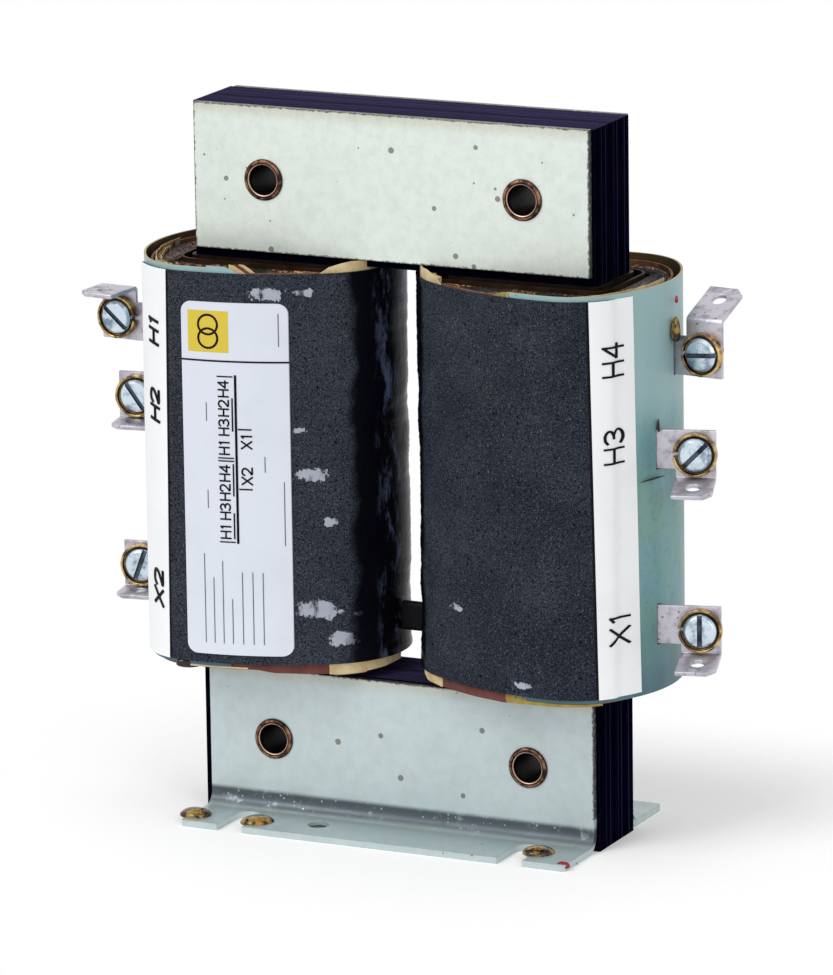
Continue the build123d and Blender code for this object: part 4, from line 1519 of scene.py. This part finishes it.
# %% Terminal marks
MARK_LIFT = 0.29
MARKS = {
    "left": letters(-1, "H1", 19.9, 114.9, 2.8, 3.2, 0.9, 0.75, 0.25)
    + letters(-1, "H2", 20.0, 96.6, 2.8, 3.2, 0.9, 0.75, 0.25)
    + letters(-1, "X2", 20.0, 52.4, 2.9, 3.7, 0.9, 0.75, 0.25),
    "right": letters(1, "H4", 28.5, 115.6, 3.3, 3.2, 1.1, 0.5)
    + letters(1, "H3", 28.5, 95.4, 3.1, 3.4, 1.1, 0.48)
    + letters(1, "X1", 29.2, 52.9, 3.1, 3.8, 0.9, 0.5),
}
for side_name, lines in MARKS.items():
    draw_lines(f"{side_name}_terminal_marks", SIDES[side_name], lines, MARK_LIFT, BLACK_INK)
print("marks for", len(MARKS), "strips")

# %% [markdown]
# The label is generic: a plain yellow panel with the two-ring sign for a transformer, and a plan
# of the two ways to join the windings. The upper plan joins the two middle marks, the lower one
# joins all four in two pairs.

# %% Label print
LABEL_LIFT = 0.31
LABEL_INK_LIFT = LABEL_LIFT + 0.025
PANEL_THICKNESS = 0.02
PANEL_GRID = (8, 10)
RING_STEPS = 28
RING_RADIUS = 2.3
RING_OFFSET = 6.5
MARK_PITCH = 4.55
PLANS = [(90.6, [(5.6, 13.2)]), (70.6, [(0.0, 5.9), (10.2, 17.6)])]


def ring(offset, level, radius):
    """A circle as a line that ends where it starts."""
    angles = [2 * math.pi * i / RING_STEPS for i in range(RING_STEPS + 1)]
    return [(offset + radius * math.cos(a), level + radius * math.sin(a)) for a in angles]


on_coil(patch(
    "label_yellow_panel", -1, (1.6, 1.6), (11.4, 11.4), (114.6, 124.4),
    LABEL_LIFT, PANEL_THICKNESS, YELLOW_INK, PANEL_GRID,
))
label_lines = [(ring(RING_OFFSET, level, RING_RADIUS), 0.5) for level in (117.9, 121.1)]
label_lines.append(([(13.0, 112.6), (-11.7, 112.6)], 0.4))
label_lines.append(([(0.2, 109.2), (0.2, 69.6)], 0.55))
for start, bridges in PLANS:
    for number, mark in enumerate(("H1", "H3", "H2", "H4")):
        label_lines += letters(-1, mark, 1.9, start + MARK_PITCH * number, 2.3, 1.6, 0.5, 0.38)
    label_lines.append(([(4.4, start - 0.9), (0.9, start - 0.9)], 0.3))
    label_lines.append(([(4.4, start + 18.4), (0.9, start + 18.4)], 0.3))
    for low, high in bridges:
        label_lines.append(([(1.0, start + low), (1.0, start + high)], 0.35))
for mark, level, tick in (("X1", 92.1, 96.6), ("X2", 83.6, 82.4)):
    label_lines += letters(-1, mark, -3.3, level, 2.3, 1.7, 0.5, 0.4)
    label_lines.append(([(-0.4, tick), (-3.2, tick)], 0.35))
draw_lines("label_print", -1, label_lines, LABEL_INK_LIFT, BLACK_INK)

# %% [markdown]
# The rest of the label is ruled lines that stay blank, for whoever uses the part to fill in.
# They are drawn like the print, only thinner and grey.

# %% Blank rules on the label
RULE_WIDTH = 0.2
BLANK_RULES = [
    (8.4, 45.4, 66.6), (6.2, 45.4, 61.0), (4.0, 45.4, 65.0), (1.8, 45.4, 56.0),
    (-0.6, 45.4, 62.5), (-3.0, 45.4, 62.5), (-5.3, 45.4, 62.5),
    (7.2, 98.4, 102.6), (7.2, 77.6, 81.8), (-6.2, 86.6, 90.2),
    (-10.3, 69.2, 84.2), (-9.6, 116.4, 124.0),
]
rules = [([(offset, low), (offset, high)], RULE_WIDTH) for offset, low, high in BLANK_RULES]
draw_lines("label_blank_rules", -1, rules, LABEL_LIFT, GREY_INK)

# %% [markdown]
# On both ends of each coil you look at the turns of wire: rows of enamelled copper laid side by
# side, run over with black varnish. A ring of wire starts as the leg's rectangle and changes to
# the coil's oval on the way out, so both are measured along rays from the leg's centre.

# %% How far the turns reach
barrier_low, barrier_high = node_box("right_barrier_paper")
inner_half_x = (barrier_high.x - barrier_low.x) / 2
inner_half_y = (barrier_high.y - barrier_low.y) / 2
RAY_STEPS = 24
KRAFT_CLEARANCE = 0.75 * MM


def ray_out(side, angle):
    """From the leg's centre: where a ray crosses the barrier's rectangle and the kraft's inside."""
    way = Vector((math.cos(angle), math.sin(angle), 0))
    box_reach = min(inner_half_x / max(abs(way.x), 1e-6), inner_half_y / max(abs(way.y), 1e-6))
    points, _ = outline(side, kraft_outer, kraft_back, RAY_STEPS)
    best = None
    for a, b in zip(points, points[1:] + points[:1]):
        a = Vector((a.x - side * leg_centre, a.y, 0))
        b = Vector((b.x - side * leg_centre, b.y, 0))
        run = b - a
        cross = run.x * way.y - run.y * way.x
        if abs(cross) < 1e-12:
            continue
        reach = (run.x * a.y - run.y * a.x) / cross
        share = (way.x * a.y - way.y * a.x) / cross
        if -1e-6 <= share <= 1 + 1e-6 and reach > 0:
            best = reach
    return way, box_reach, best - kraft_inset - KRAFT_CLEARANCE


_, nearest_turn, farthest_turn = ray_out(1, -math.pi / 2)
print("turns from", round(nearest_turn / MM, 1), "to", round(farthest_turn / MM, 1), "mm in front")

# %% [markdown]
# The ends of the turns show more copper than their flanks, because the varnish drained off them.

# %% Copper of the wire ends
DROWNED_BLACK = (0.004, 0.003, 0.004)
BRIGHT_COPPER = (0.60, 0.26, 0.11)


def wire_end_finish():
    """Copper ridges that glint through pooled black varnish."""
    finish = Finish("wire ends", Roughness=0.25, Specular_IOR_Level=0.08)
    turns = finish.group(SPECKS, Scale=900.0, Size=0.6, Coverage=0.5)["Mask"]
    bare = finish.group(STAINS, Scale=85.0, Low=0.40, High=0.56)["Mask"]
    streak = finish.ramp(finish.noise(900.0, 4.0, 0.7), 0.46, 0.58)
    uneven = finish.math("MULTIPLY_ADD", turns, 0.5, 0.5)
    amount = finish.times(finish.times(bare, streak), uneven)
    finish.wire(
        Base_Color=finish.mix(amount, DROWNED_BLACK, BRIGHT_COPPER),
        Metallic=finish.times(amount, 0.7),
        Normal=finish.bump(finish.noise(1400.0, 2.0), 0.0002, 0.7),
    )
    return finish.material


WIRE_END = wire_end_finish()
print(WIRE_END.name, "ready")

# %% [markdown]
# Each layer of wire is a ridge that goes round the leg. Its height wanders a little from place to
# place, as hand-fed wire does. Single wires as tubes would need many times the faces.

# %% Ends of the windings
END_COLUMNS = 144
END_LAYERS = 9
ROWS_PER_LAYER = 6
END_ROWS = END_LAYERS * ROWS_PER_LAYER
BUMPS = 24
FIRST_GAP = 0.1 * MM
RIDGE_FOOT = 0.12
RIDGE_HEIGHT = 0.75
FLAT_HEIGHT = 0.05 * MM
FLAT_REACH = 11.6 * MM


def ridge_height(bumps, layer, crest, round_share):
    """Height of a ridge in mm. The bumps along it run into one another."""
    turn = round_share * BUMPS
    first, second = bumps[layer, int(turn) % BUMPS], bumps[layer, (int(turn) + 1) % BUMPS]
    return RIDGE_FOOT + RIDGE_HEIGHT * crest * (first + (second - first) * (turn - int(turn)))


def winding_end(name, side, level, way_up, seed):
    """Ridged rings of wire on one end of a coil. They stand up from the winding's cut face."""
    random = np.random.default_rng(seed)
    rays = [ray_out(side, 2 * math.pi * i / END_COLUMNS) for i in range(END_COLUMNS)]
    bumps = random.uniform(0.55, 1.0, (END_LAYERS, BUMPS))
    vertices, faces = [], []
    for row in range(END_ROWS + 1):
        layer = min(row // ROWS_PER_LAYER, END_LAYERS - 1)
        crest = math.sin(math.pi * (row / ROWS_PER_LAYER - layer))
        for column, (way, near, far) in enumerate(rays):
            reach = near + FIRST_GAP + (far - near - FIRST_GAP) * (row / END_ROWS)
            height = ridge_height(bumps, layer, crest, column / END_COLUMNS) * MM
            point = Vector((side * leg_centre, 0, 0)) + way * reach
            if side * point.x - leg_centre < FLAT_REACH - window_reach and point.y < 0:
                height = FLAT_HEIGHT
            vertices.append(Vector((point.x, point.y, level + way_up * height)))
    for row in range(END_ROWS):
        for column in range(END_COLUMNS):
            a = row * END_COLUMNS + column
            b = row * END_COLUMNS + (column + 1) % END_COLUMNS
            face = (a, b, b + END_COLUMNS, a + END_COLUMNS)
            faces.append(face if way_up > 0 else (face[0], face[3], face[2], face[1]))
    return on_coil(new_piece(name, vertices, faces, WIRE_END))


winding_low, winding_high = node_box("right_inner_winding")
for side_name, side in SIDES.items():
    winding_end(f"{side_name}_upper_turns", side, winding_high.z, 1, 5 + side)
    winding_end(f"{side_name}_lower_turns", side, winding_low.z, -1, 15 + side)
print("winding ends", 4 * END_COLUMNS * END_ROWS, "faces")

# %% [markdown]
# Several turns of kraft paper close each winding. At the outer front corner their upper edges
# come apart into thin wavy leaves, cream where the varnish missed them and brown where it soaked
# in. Each leaf further in reaches less far back.

# %% Loose paper leaves
LEAF_LOOKS = [CREAM_PAPER, KRAFT_PAPER, OCHRE_PAPER, CREAM_PAPER, KRAFT_PAPER]
LEAF_STEPS = 40
LEAF_ROWS = 5
LEAF_THICKNESS = 0.12 * MM
LEAF_FROM_X = 6 * MM
LEAF_FRONT_Y = -26 * MM
LEAF_SEED = 40


def leaf(name, side, depth, low, high, to_y, seed, material):
    """A thin wavy sheet inside the green one, from the front corner back to a depth."""
    random = np.random.default_rng(seed)
    waves = random.uniform(0.5, 1.0, 3)
    phases = random.uniform(0, 6.28, 3)
    points, normals = outline(side, kraft_outer, kraft_back, LEAF_STEPS)
    path, path_normals = cut_path(
        points,
        normals,
        lambda p: LEAF_FRONT_Y < p.y < to_y and side * p.x - leg_centre > LEAF_FROM_X,
    )

    def ripple(column, z):
        along = column / len(path)
        rise = (z - low) / (high - low)
        wobble = sum(
            wave * math.sin((4 + 5 * k) * along * 3 + phase)
            for k, (wave, phase) in enumerate(zip(waves, phases))
        ) / 3
        return -rise * (0.35 + 0.35 * wobble) * MM

    levels = even_levels(low, high, LEAF_ROWS)
    return on_coil(skin(name, path, path_normals, levels, LEAF_THICKNESS, depth, material, ripple))


for side_name, side in SIDES.items():
    for number, look in enumerate(LEAF_LOOKS):
        name = f"{side_name}_paper_leaf_{number + 1}"
        depth = kraft_inset + (0.75 + 0.42 * number) * MM
        low = winding_high.z + 0.2 * MM
        high = coil_top + (0.75 - 0.12 * number) * MM
        reach_back = (4 - 2.5 * number) * MM
        leaf(name, side, depth, low, high, reach_back, LEAF_SEED + number + side, look)
print(len(LEAF_LOOKS), "leaves on each coil")

# %% [markdown]
# The metal fittings are small and catch the light. Bare and plated metal share one recipe with
# uneven tarnish. The brass cup washer has its own, with bright rims; the faces inside its cup get a
# darker finish.

# %% Finishes of the fittings
TARNISH_SPOT = (0.05, 0.035, 0.02)
BRASS_TONES = [(0.66, 0.44, 0.17), (0.10, 0.045, 0.018)]
BRASS_RIM = (0.95, 0.78, 0.45)


def metal_finish(name, colour, dark, roughness, metallic, spots):
    """Bare or plated metal with uneven tarnish, small stains and fine scratches."""
    finish = Finish(name, Metallic=metallic)
    cloud = finish.group(STAINS, Scale=300.0, Low=0.44, High=0.66)["Mask"]
    specks = finish.group(SPECKS, Scale=900.0, Size=0.3, Coverage=0.3)["Mask"]
    tone = finish.mix(finish.times(specks, spots), finish.mix(cloud, colour, dark), TARNISH_SPOT)
    scratches = finish.noise(1.0, place=finish.stretch((2600.0, 900.0, 400.0)))
    finish.wire(
        Base_Color=tone,
        Roughness=finish.math("MULTIPLY_ADD", cloud, 0.18, roughness),
        Normal=finish.bump(scratches, 0.00006, 0.5),
    )
    return finish.material


def brass_finish():
    """Brass with bright raised rims. The faces inside the cup get their own darker finish."""
    finish = Finish("brass washer", Metallic=0.95, Roughness=0.28)
    cloud = finish.group(STAINS, Scale=380.0, Low=0.35, High=0.6)["Mask"]
    rub = finish.group(EDGE_RUB, Radius=0.0004, Breakup=900.0)["Mask"]
    grain = finish.group(GRAIN, Coarse=500.0, Fine=2500.0, Grit=0.4)["Height"]
    finish.wire(
        Base_Color=finish.mix(rub, finish.mix(cloud, *BRASS_TONES), BRASS_RIM),
        Normal=finish.bump(grain, 0.0001, 0.4),
    )
    return finish.material


METALS = {
    "tinned tab": ((0.56, 0.54, 0.60), (0.36, 0.33, 0.38), 0.40, 0.75, 0.6),
    "zinc screw": ((0.66, 0.76, 0.85), (0.20, 0.27, 0.36), 0.24, 0.85, 0.4),
    "dark inside the cup": ((0.030, 0.014, 0.008), (0.006, 0.003, 0.003), 0.35, 0.2, 0.3),
    # The slot's finish is painted shadow inside the slot.
    "screw slot": ((0.10, 0.13, 0.17), (0.018, 0.022, 0.035), 0.45, 0.7, 0.3),
}
metal = {name: metal_finish(name, *values) for name, values in METALS.items()}
TINNED, ZINC = metal["tinned tab"], metal["zinc screw"]
CUP_DARK, SLOT_PAINTED_SHADOW = metal["dark inside the cup"], metal["screw slot"]
BRASS = brass_finish()
print("metals", ", ".join([*METALS, BRASS.name]))

# %% [markdown]
# A real edge is never perfectly sharp, and the thin bright line along it tells the eye that a
# thing is metal. A softened piece is the CAD piece itself with its flat faces joined up and every
# corner rounded over a little. It stays inside the CAD piece and rides the same body.

# %% Softened copies of CAD pieces
SAME_POINT = 1e-6
FLAT_ANGLE = math.radians(0.6)
ROUNDED_ANGLE = math.radians(32)
CRISP_ANGLE = math.radians(50)


def softened(node, width, material, body):
    """A copy of a CAD piece with rounded corners, which stands for it."""
    mesh = frame["nodes"][node].data.copy()
    bm = bmesh.new()
    bm.from_mesh(mesh)
    bmesh.ops.remove_doubles(bm, verts=bm.verts, dist=SAME_POINT)
    bmesh.ops.dissolve_limit(bm, angle_limit=FLAT_ANGLE, verts=bm.verts, edges=bm.edges)
    bm.to_mesh(mesh)
    bm.free()
    piece = bpy.data.objects.new(f"{node}_softened", mesh)
    bpy.context.collection.objects.link(piece)
    rounding = piece.modifiers.new("rounding", "BEVEL")
    rounding.width = width
    rounding.segments = 2
    rounding.limit_method = "ANGLE"
    rounding.angle_limit = ROUNDED_ANGLE
    bpy.context.view_layer.update()
    graph = bpy.context.evaluated_depsgraph_get()
    soft = bpy.data.meshes.new_from_object(piece.evaluated_get(graph))
    piece.modifiers.clear()
    piece.data = soft
    soft.materials.clear()
    soft.materials.append(material)
    soft.polygons.foreach_set("use_smooth", [True] * len(soft.polygons))
    soft.set_sharp_from_angle(angle=CRISP_ANGLE)
    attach(piece, body)
    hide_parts(node)
    return piece


def second_look(piece, material, chosen):
    """Give the faces whose centre is chosen another finish."""
    piece.data.materials.append(material)
    for polygon in piece.data.polygons:
        if chosen(polygon.center):
            polygon.material_index = 1


print("corners over", round(math.degrees(ROUNDED_ANGLE)), "degrees are rounded")

# %% [markdown]
# The tabs are stamped from tinned sheet, and each carries a split cup washer that bites on the
# wire. The washer slides with its screw, so it rides its own body. The joints of the frame say
# where each screw's axis is.

# %% Tabs and washers
TERMINALS = ("h1", "h2", "x2", "h4", "h3", "x1")
TURN_JOINTS = {joint["name"]: joint for joint in frame["joints"]}
TAB_ROUNDING = 0.16 * MM
WASHER_ROUNDING = 0.12 * MM
CUP_RADIUS = 4.35 * MM
RIM_DEPTH = 0.15 * MM


def screw_axis(terminal):
    """A point on a screw's axis, and the way its head faces."""
    joint = TURN_JOINTS[f"{terminal}_screw_turn"]
    return Vector(joint["pos_m"]), Vector(joint["axis"]).normalized()


for terminal in TERMINALS:
    softened(f"{terminal}_terminal_tab", TAB_ROUNDING, TINNED, "root")
    node, body = f"{terminal}_cup_washer", f"{terminal}_washer"
    washer = softened(node, WASHER_ROUNDING, BRASS, body)
    centre, axis = screw_axis(terminal)
    rim = max((v.co - centre).dot(axis) for v in washer.data.vertices)
    # The faces inside the cup, below the rim, take the darker finish.
    second_look(
        washer,
        CUP_DARK,
        lambda point: (point - centre).cross(axis).length < CUP_RADIUS
        and (point - centre).dot(axis) < rim - RIM_DEPTH,
    )
print("tabs and washers", 2 * len(TERMINALS))

# %% [markdown]
# A terminal screw has a low domed head with one slot. The CAD head is flat on top, so its points
# are lowered towards the rim, and the plain shank is made thinner, to leave room for a thread.

# %% Heads of the screws
HEAD_ROUNDING = 0.22 * MM
DOME_DROP = 0.55 * MM
THREAD_DEPTH = 0.36 * MM
UNDER_THREAD = 0.05 * MM


def turned_values(vertex, centre, axis):
    """Height of a point along a screw's axis, its distance from the axis, and the way there."""
    offset = vertex - centre
    height = offset.dot(axis)
    away = offset - axis * height
    return height, away.length, away


def make_head(terminal):
    """A domed head on a thinned shank. Also the heights and the radius that the thread needs."""
    centre, axis = screw_axis(terminal)
    body = f"{terminal}_screw"
    head = softened(f"{terminal}_terminal_screw", HEAD_ROUNDING, ZINC, body)
    measured = [turned_values(v.co, centre, axis) for v in head.data.vertices]
    tip, crown = min(m[0] for m in measured), max(m[0] for m in measured)
    head_radius = max(m[1] for m in measured)
    shank = max(m[1] for m in measured if m[0] < 0)
    under_head = min(m[0] for m in measured if m[1] > shank * 1.2)
    # The faces inside the slot take the dark finish: painted shadow.
    second_look(
        head,
        SLOT_PAINTED_SHADOW,
        lambda point: under_head + 0.1 * MM < (point - centre).dot(axis) < crown - 0.24 * MM
        and (point - centre).cross(axis).length < head_radius - 0.3 * MM,
    )
    for vertex, (height, radius, away) in zip(head.data.vertices, measured):
        on_shank = shank * 0.9 < radius < shank * 1.05
        if height > under_head + 0.3 * MM:
            share = (height - under_head) / (crown - under_head)
            vertex.co -= axis * DOME_DROP * share * (radius / head_radius) ** 2
        elif on_shank and height < under_head + 0.01 * MM:
            vertex.co -= away.normalized() * (THREAD_DEPTH + UNDER_THREAD)
    return head, tip, under_head, shank


heads = {terminal: make_head(terminal) for terminal in TERMINALS}
for terminal, (head, _, _, shank) in heads.items():
    print(terminal, "head", len(head.data.polygons), "faces, shank", round(shank / MM, 2), "mm")

# %% [markdown]
# The thread is rolled, with crests exactly as wide as the plain shank of the CAD screw, so it
# still runs free in the tab's hole. It is a sleeve of rings whose radius follows a zigzag that
# moves round as it goes up.

# %% Threads of the screws
THREAD_PITCH = 0.79375 * MM
THREAD_COLUMNS = 28
THREAD_ROWS = 7
RUN_OUT_ROWS = 4
TIP_CLEARANCE = 0.12 * MM
BOTH_CLEARANCES = 0.25 * MM


def make_thread(terminal, tip, under_head, shank):
    """A threaded sleeve round the shank, which runs out at both ends."""
    centre, axis = screw_axis(terminal)
    aside = axis.orthogonal().normalized()
    beyond = axis.cross(aside)
    length = under_head - tip - BOTH_CLEARANCES
    rows = int(length / THREAD_PITCH * THREAD_ROWS)
    vertices, faces = [], []
    for row in range(rows + 1):
        height = tip + TIP_CLEARANCE + length * row / rows
        ends = min(1.0, min(row, rows - row) / RUN_OUT_ROWS)
        for column in range(THREAD_COLUMNS):
            turn = column / THREAD_COLUMNS
            phase = (height / THREAD_PITCH - turn) % 1.0
            radius = shank - THREAD_DEPTH + THREAD_DEPTH * (1 - abs(2 * phase - 1)) * ends
            way = aside * math.cos(2 * math.pi * turn) + beyond * math.sin(2 * math.pi * turn)
            vertices.append(centre + axis * height + way * radius)
    for row in range(rows):
        for column in range(THREAD_COLUMNS):
            a = row * THREAD_COLUMNS + column
            b = row * THREAD_COLUMNS + (column + 1) % THREAD_COLUMNS
            faces.append((a, b, b + THREAD_COLUMNS, a + THREAD_COLUMNS))
    faces.append(tuple(reversed(range(THREAD_COLUMNS))))
    faces.append(tuple(rows * THREAD_COLUMNS + column for column in range(THREAD_COLUMNS)))
    thread = close_mesh(new_piece(f"{terminal}_screw_thread", vertices, faces, ZINC))
    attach(thread, f"{terminal}_screw")
    return thread


for terminal, (_, tip, under_head, shank) in heads.items():
    thread = make_thread(terminal, tip, under_head, shank)
    print(thread.name, len(thread.data.polygons), "faces")

# %% [markdown]
# The four rivets are tubes whose ends are rolled over the plates. Seen from the front they show
# rings: painted shade inside the tube, a painted highlight on the lip, a thin ring of painted
# shade, copper, and painted shade on the outer skirt. The distance from the nearest rivet's axis
# gives all of them at once.

# %% Copper of the rivets
RIVETS = [f"{level}_{side}_rivet" for level in ("lower", "upper") for side in ("left", "right")]
rivet_boxes = {name: node_box(name) for name in RIVETS}
rivet_centres = {name: (low + high) / 2 for name, (low, high) in rivet_boxes.items()}
COPPER_TONES = [(0.30, 0.15, 0.085), (0.030, 0.016, 0.013)]
# Painted shade for the groove ring and the skirt, a painted highlight for the lip, and painted
# shade for the tube's inside.
GROOVE_PAINTED_SHADE = (0.010, 0.006, 0.006)
LIP_PAINTED_HIGHLIGHT = (0.62, 0.44, 0.34)
BORE_PAINTED_SHADE = (0.002, 0.002, 0.002)
LIP_RADIUS = 3.68 * MM
LIP_WIDTHS = (0.16 * MM, 0.05 * MM)
GROOVE_RADIUS = 3.98 * MM
GROOVE_WIDTHS = (0.20 * MM, 0.06 * MM)
SKIRT_RADII = (4.66 * MM, 4.84 * MM)
BORE_SHADE_RADII = (3.60 * MM, 3.52 * MM)


def nearest_axis(finish, axes):
    """Distance from the nearest rivet's axis. The rivets stand in two columns and two rows."""
    gaps = []
    for axis_name, number in (("X", 0), ("Z", 2)):
        places = sorted({round(c[number], 6) for c in rivet_centres.values()})
        apart = [finish.math("SUBTRACT", axes[axis_name], place) for place in places]
        gaps.append(finish.math("MINIMUM", *[finish.math("ABSOLUTE", gap) for gap in apart]))
    squared = finish.math("MULTIPLY_ADD", gaps[0], gaps[0], finish.times(gaps[1], gaps[1]))
    return finish.math("SQRT", squared)


def near_ring(finish, radius, ring_radius, widths):
    """1 on a ring and 0 away from it."""
    away = finish.math("ABSOLUTE", finish.math("SUBTRACT", radius, ring_radius))
    return finish.ramp(away, *widths)


def rivet_finish():
    """Darkened copper in rings with a painted highlight and painted shade, and painted shade inside
    the tube.
    """
    finish = Finish("rivet copper", Roughness=0.36, Specular_IOR_Level=0.1)
    radius = nearest_axis(finish, finish.axes())
    cloud = finish.group(STAINS, Scale=420.0, Low=0.38, High=0.60)["Mask"]
    # Painted highlight on the lip, painted shade in the groove ring, on the skirt and inside the
    # tube.
    lip_highlight = near_ring(finish, radius, LIP_RADIUS, LIP_WIDTHS)
    groove = near_ring(finish, radius, GROOVE_RADIUS, GROOVE_WIDTHS)
    dark = finish.math("MAXIMUM", groove, finish.ramp(radius, *SKIRT_RADII))
    inside = finish.ramp(radius, *BORE_SHADE_RADII)
    tone = finish.mix(dark, finish.mix(cloud, *COPPER_TONES), GROOVE_PAINTED_SHADE)
    tone = finish.mix(finish.times(lip_highlight, 0.8), tone, LIP_PAINTED_HIGHLIGHT)
    tone = finish.mix(inside, tone, BORE_PAINTED_SHADE)
    grain = finish.group(GRAIN, Coarse=400.0, Fine=2200.0, Grit=0.4)["Height"]
    finish.wire(
        Base_Color=tone,
        Metallic=finish.math("MULTIPLY_ADD", inside, -0.8, 0.8),
        Normal=finish.bump(grain, 0.00012, 0.5),
    )
    return finish.material


RIVET_COPPER = rivet_finish()
print(RIVET_COPPER.name, "for", len(RIVETS), "rivets")

# %% [markdown]
# A rolled end is round, so a lathe is the short way to it: one profile, turned about the rivet's
# axis. The profile goes up the hole, over the roll, and back the same way on the other side.

# %% Rivets with rolled ends
LATHE_STEPS = 48
ROLL_HEIGHT = 0.7
ROLL_PROFILE = [
    (3.5, -1.6), (3.5, -0.5), (3.62, -0.18), (3.9, -0.03), (4.3, 0.0),
    (4.62, -0.1), (4.84, -0.32), (4.88, -0.56), (4.8, -ROLL_HEIGHT), (4.1, -ROLL_HEIGHT),
]


def lathe(name, centre, axis, profile, material):
    """Turn a closed profile of radii and heights in mm about an axis."""
    aside = axis.orthogonal().normalized()
    beyond = axis.cross(aside)
    vertices, faces = [], []
    for step in range(LATHE_STEPS):
        angle = 2 * math.pi * step / LATHE_STEPS
        way = aside * math.cos(angle) + beyond * math.sin(angle)
        vertices += [centre + way * radius * MM + axis * height * MM for radius, height in profile]
    count = len(profile)
    for step in range(LATHE_STEPS):
        after = (step + 1) % LATHE_STEPS
        for k in range(count):
            a, b = step * count + k, step * count + (k + 1) % count
            c, d = after * count + (k + 1) % count, after * count + k
            faces.append((a, b, c, d))
    return close_mesh(new_piece(name, vertices, faces, material))


for name, centre in rivet_centres.items():
    tip = rivet_boxes[name][1].y / MM
    front_roll = [(radius, tip + height) for radius, height in ROLL_PROFILE]
    back_roll = [(radius, -height) for radius, height in reversed(front_roll)]
    profile = front_roll + back_roll
    piece = lathe(f"{name}_rolled", centre, Vector((0, 1, 0)), profile, RIVET_COPPER)
    on_coil(piece, name)
print("rivets", len(RIVETS), "faces each", len(piece.data.polygons))

# %% [markdown]
# After dipping, the varnish ran down and set. Thin varnish is amber and clear, thick varnish is
# nearly black. A mix of two tones stands for the depth, which is cheaper than glass.

# %% Set varnish and red paint
def varnish_finish(name, thin, thick, roughness=0.08):
    """Glossy varnish that is darker where it lies thick."""
    finish = Finish(name, Roughness=roughness, Specular_IOR_Level=0.3, Coat_Weight=0.25)
    cloud = finish.group(STAINS, Scale=420.0, Low=0.42, High=0.54)["Mask"]
    grain = finish.group(GRAIN, Coarse=300.0, Fine=900.0, Grit=0.2)["Height"]
    finish.wire(
        Base_Color=finish.mix(cloud, thin, thick),
        Normal=finish.bump(grain, 0.0001, 0.3),
    )
    return finish.material


AMBER = varnish_finish("amber varnish", (0.36, 0.21, 0.04), (0.020, 0.010, 0.005))
BLACK_VARNISH = varnish_finish("black varnish", (0.006, 0.005, 0.006), (0.015, 0.009, 0.007))
RED_PAINT = varnish_finish("red paint", (0.50, 0.03, 0.03), (0.22, 0.01, 0.02), 0.3)
print("varnish ready")

# %% [markdown]
# Amber drips stand on the front foot and on the tab roots, and a black lump hangs below the left
# coil. Dabs of red paint mark a tested one. Each is a ball, pressed flat below and pulled about a
# little, so that no two are alike. Their shapes were judged from the camera's side, so they are
# turned to face it. The dark marks on the right sheet are a small tear and the seam under it.

# %% Varnish drips and small marks
PULL_COUNT = 5
SQUASH = 0.5
FOOT_TOP = 1.6
LUMP_PLACE = tuple(front_place(-1, 14.0 * MM, coil_bottom - 1.3 * MM, -1.9 * MM) / MM)
OWN_TURNS = {"h3_sheet_seam": math.radians(-16.4)}
DRIPS = [
    ("foot_drip_left", (-47.7, -22.6, FOOT_TOP), (3.5, 3.2, 1.7), AMBER, 3),
    ("foot_drip_middle", (-31.4, -22.4, FOOT_TOP), (3.9, 3.2, 1.6), AMBER, 5),
    ("foot_drip_right", (40.3, -21.0, FOOT_TOP), (3.7, 3.2, 1.7), AMBER, 8),
    ("foot_red_mark", (49.2, -26.6, 1.0), (1.5, 1.0, 1.1), RED_PAINT, 2),
    # A flat black disc in the hole of the front foot: painted shade where the hole looks down to
    # the floor.
    ("foot_hole_painted_shade", (-16.8, -20.5, 0.92), (2.5, 2.5, 0.6), BLACK_VARNISH, 21),
    ("left_coil_lump", LUMP_PLACE, (3.3, 1.2, 1.9), BLACK_VARNISH, 12),
    ("h4_root_varnish", (66.5, -0.2, 122.0), (1.2, 1.8, 3.9), AMBER, 14),
    ("h4_red_mark", (66.6, 0.1, 129.6), (0.4, 0.6, 1.1), RED_PAINT, 15),
    ("h3_sheet_tear", (65.1, -7.2, 101.4), (0.35, 0.7, 2.1), BLACK_VARNISH, 17),
    ("h3_sheet_seam", (64.45, -9.5, 89.8), (0.35, 4.5, 0.24), BLACK_VARNISH, 18),
]


def blob(name, place, radii, material, seed, turn):
    """A soft lump: a ball pressed flat on its lower side and pulled about a little."""
    random = np.random.default_rng(seed)
    bm = bmesh.new()
    bmesh.ops.create_icosphere(bm, subdivisions=3, radius=1.0)
    pulls = [Vector(pull).normalized() for pull in random.normal(0, 1, (PULL_COUNT, 3))]
    sizes = random.uniform(-0.16, 0.2, PULL_COUNT)
    spin = Matrix.Rotation(turn, 3, "Z")
    for vertex in bm.verts:
        way = vertex.co.normalized()
        swell = 1 + sum(size * max(0.0, way.dot(pull)) ** 2 for pull, size in zip(pulls, sizes))
        point = Vector((way.x * radii[0], way.y * radii[1], way.z * radii[2])) * swell
        if point.z < 0:
            point.z *= SQUASH
        vertex.co = spin @ (point * MM) + Vector(place) * MM
    mesh = bpy.data.meshes.new(name)
    bm.to_mesh(mesh)
    bm.free()
    mesh.materials.append(material)
    mesh.polygons.foreach_set("use_smooth", [True] * len(mesh.polygons))
    piece = bpy.data.objects.new(name, mesh)
    bpy.context.collection.objects.link(piece)
    return on_coil(piece)


for name, place, radii, material, seed in DRIPS:
    blob(name, place, radii, material, seed, OWN_TURNS.get(name, CAMERA_AZIMUTH))
print(len(DRIPS), "drips and marks")
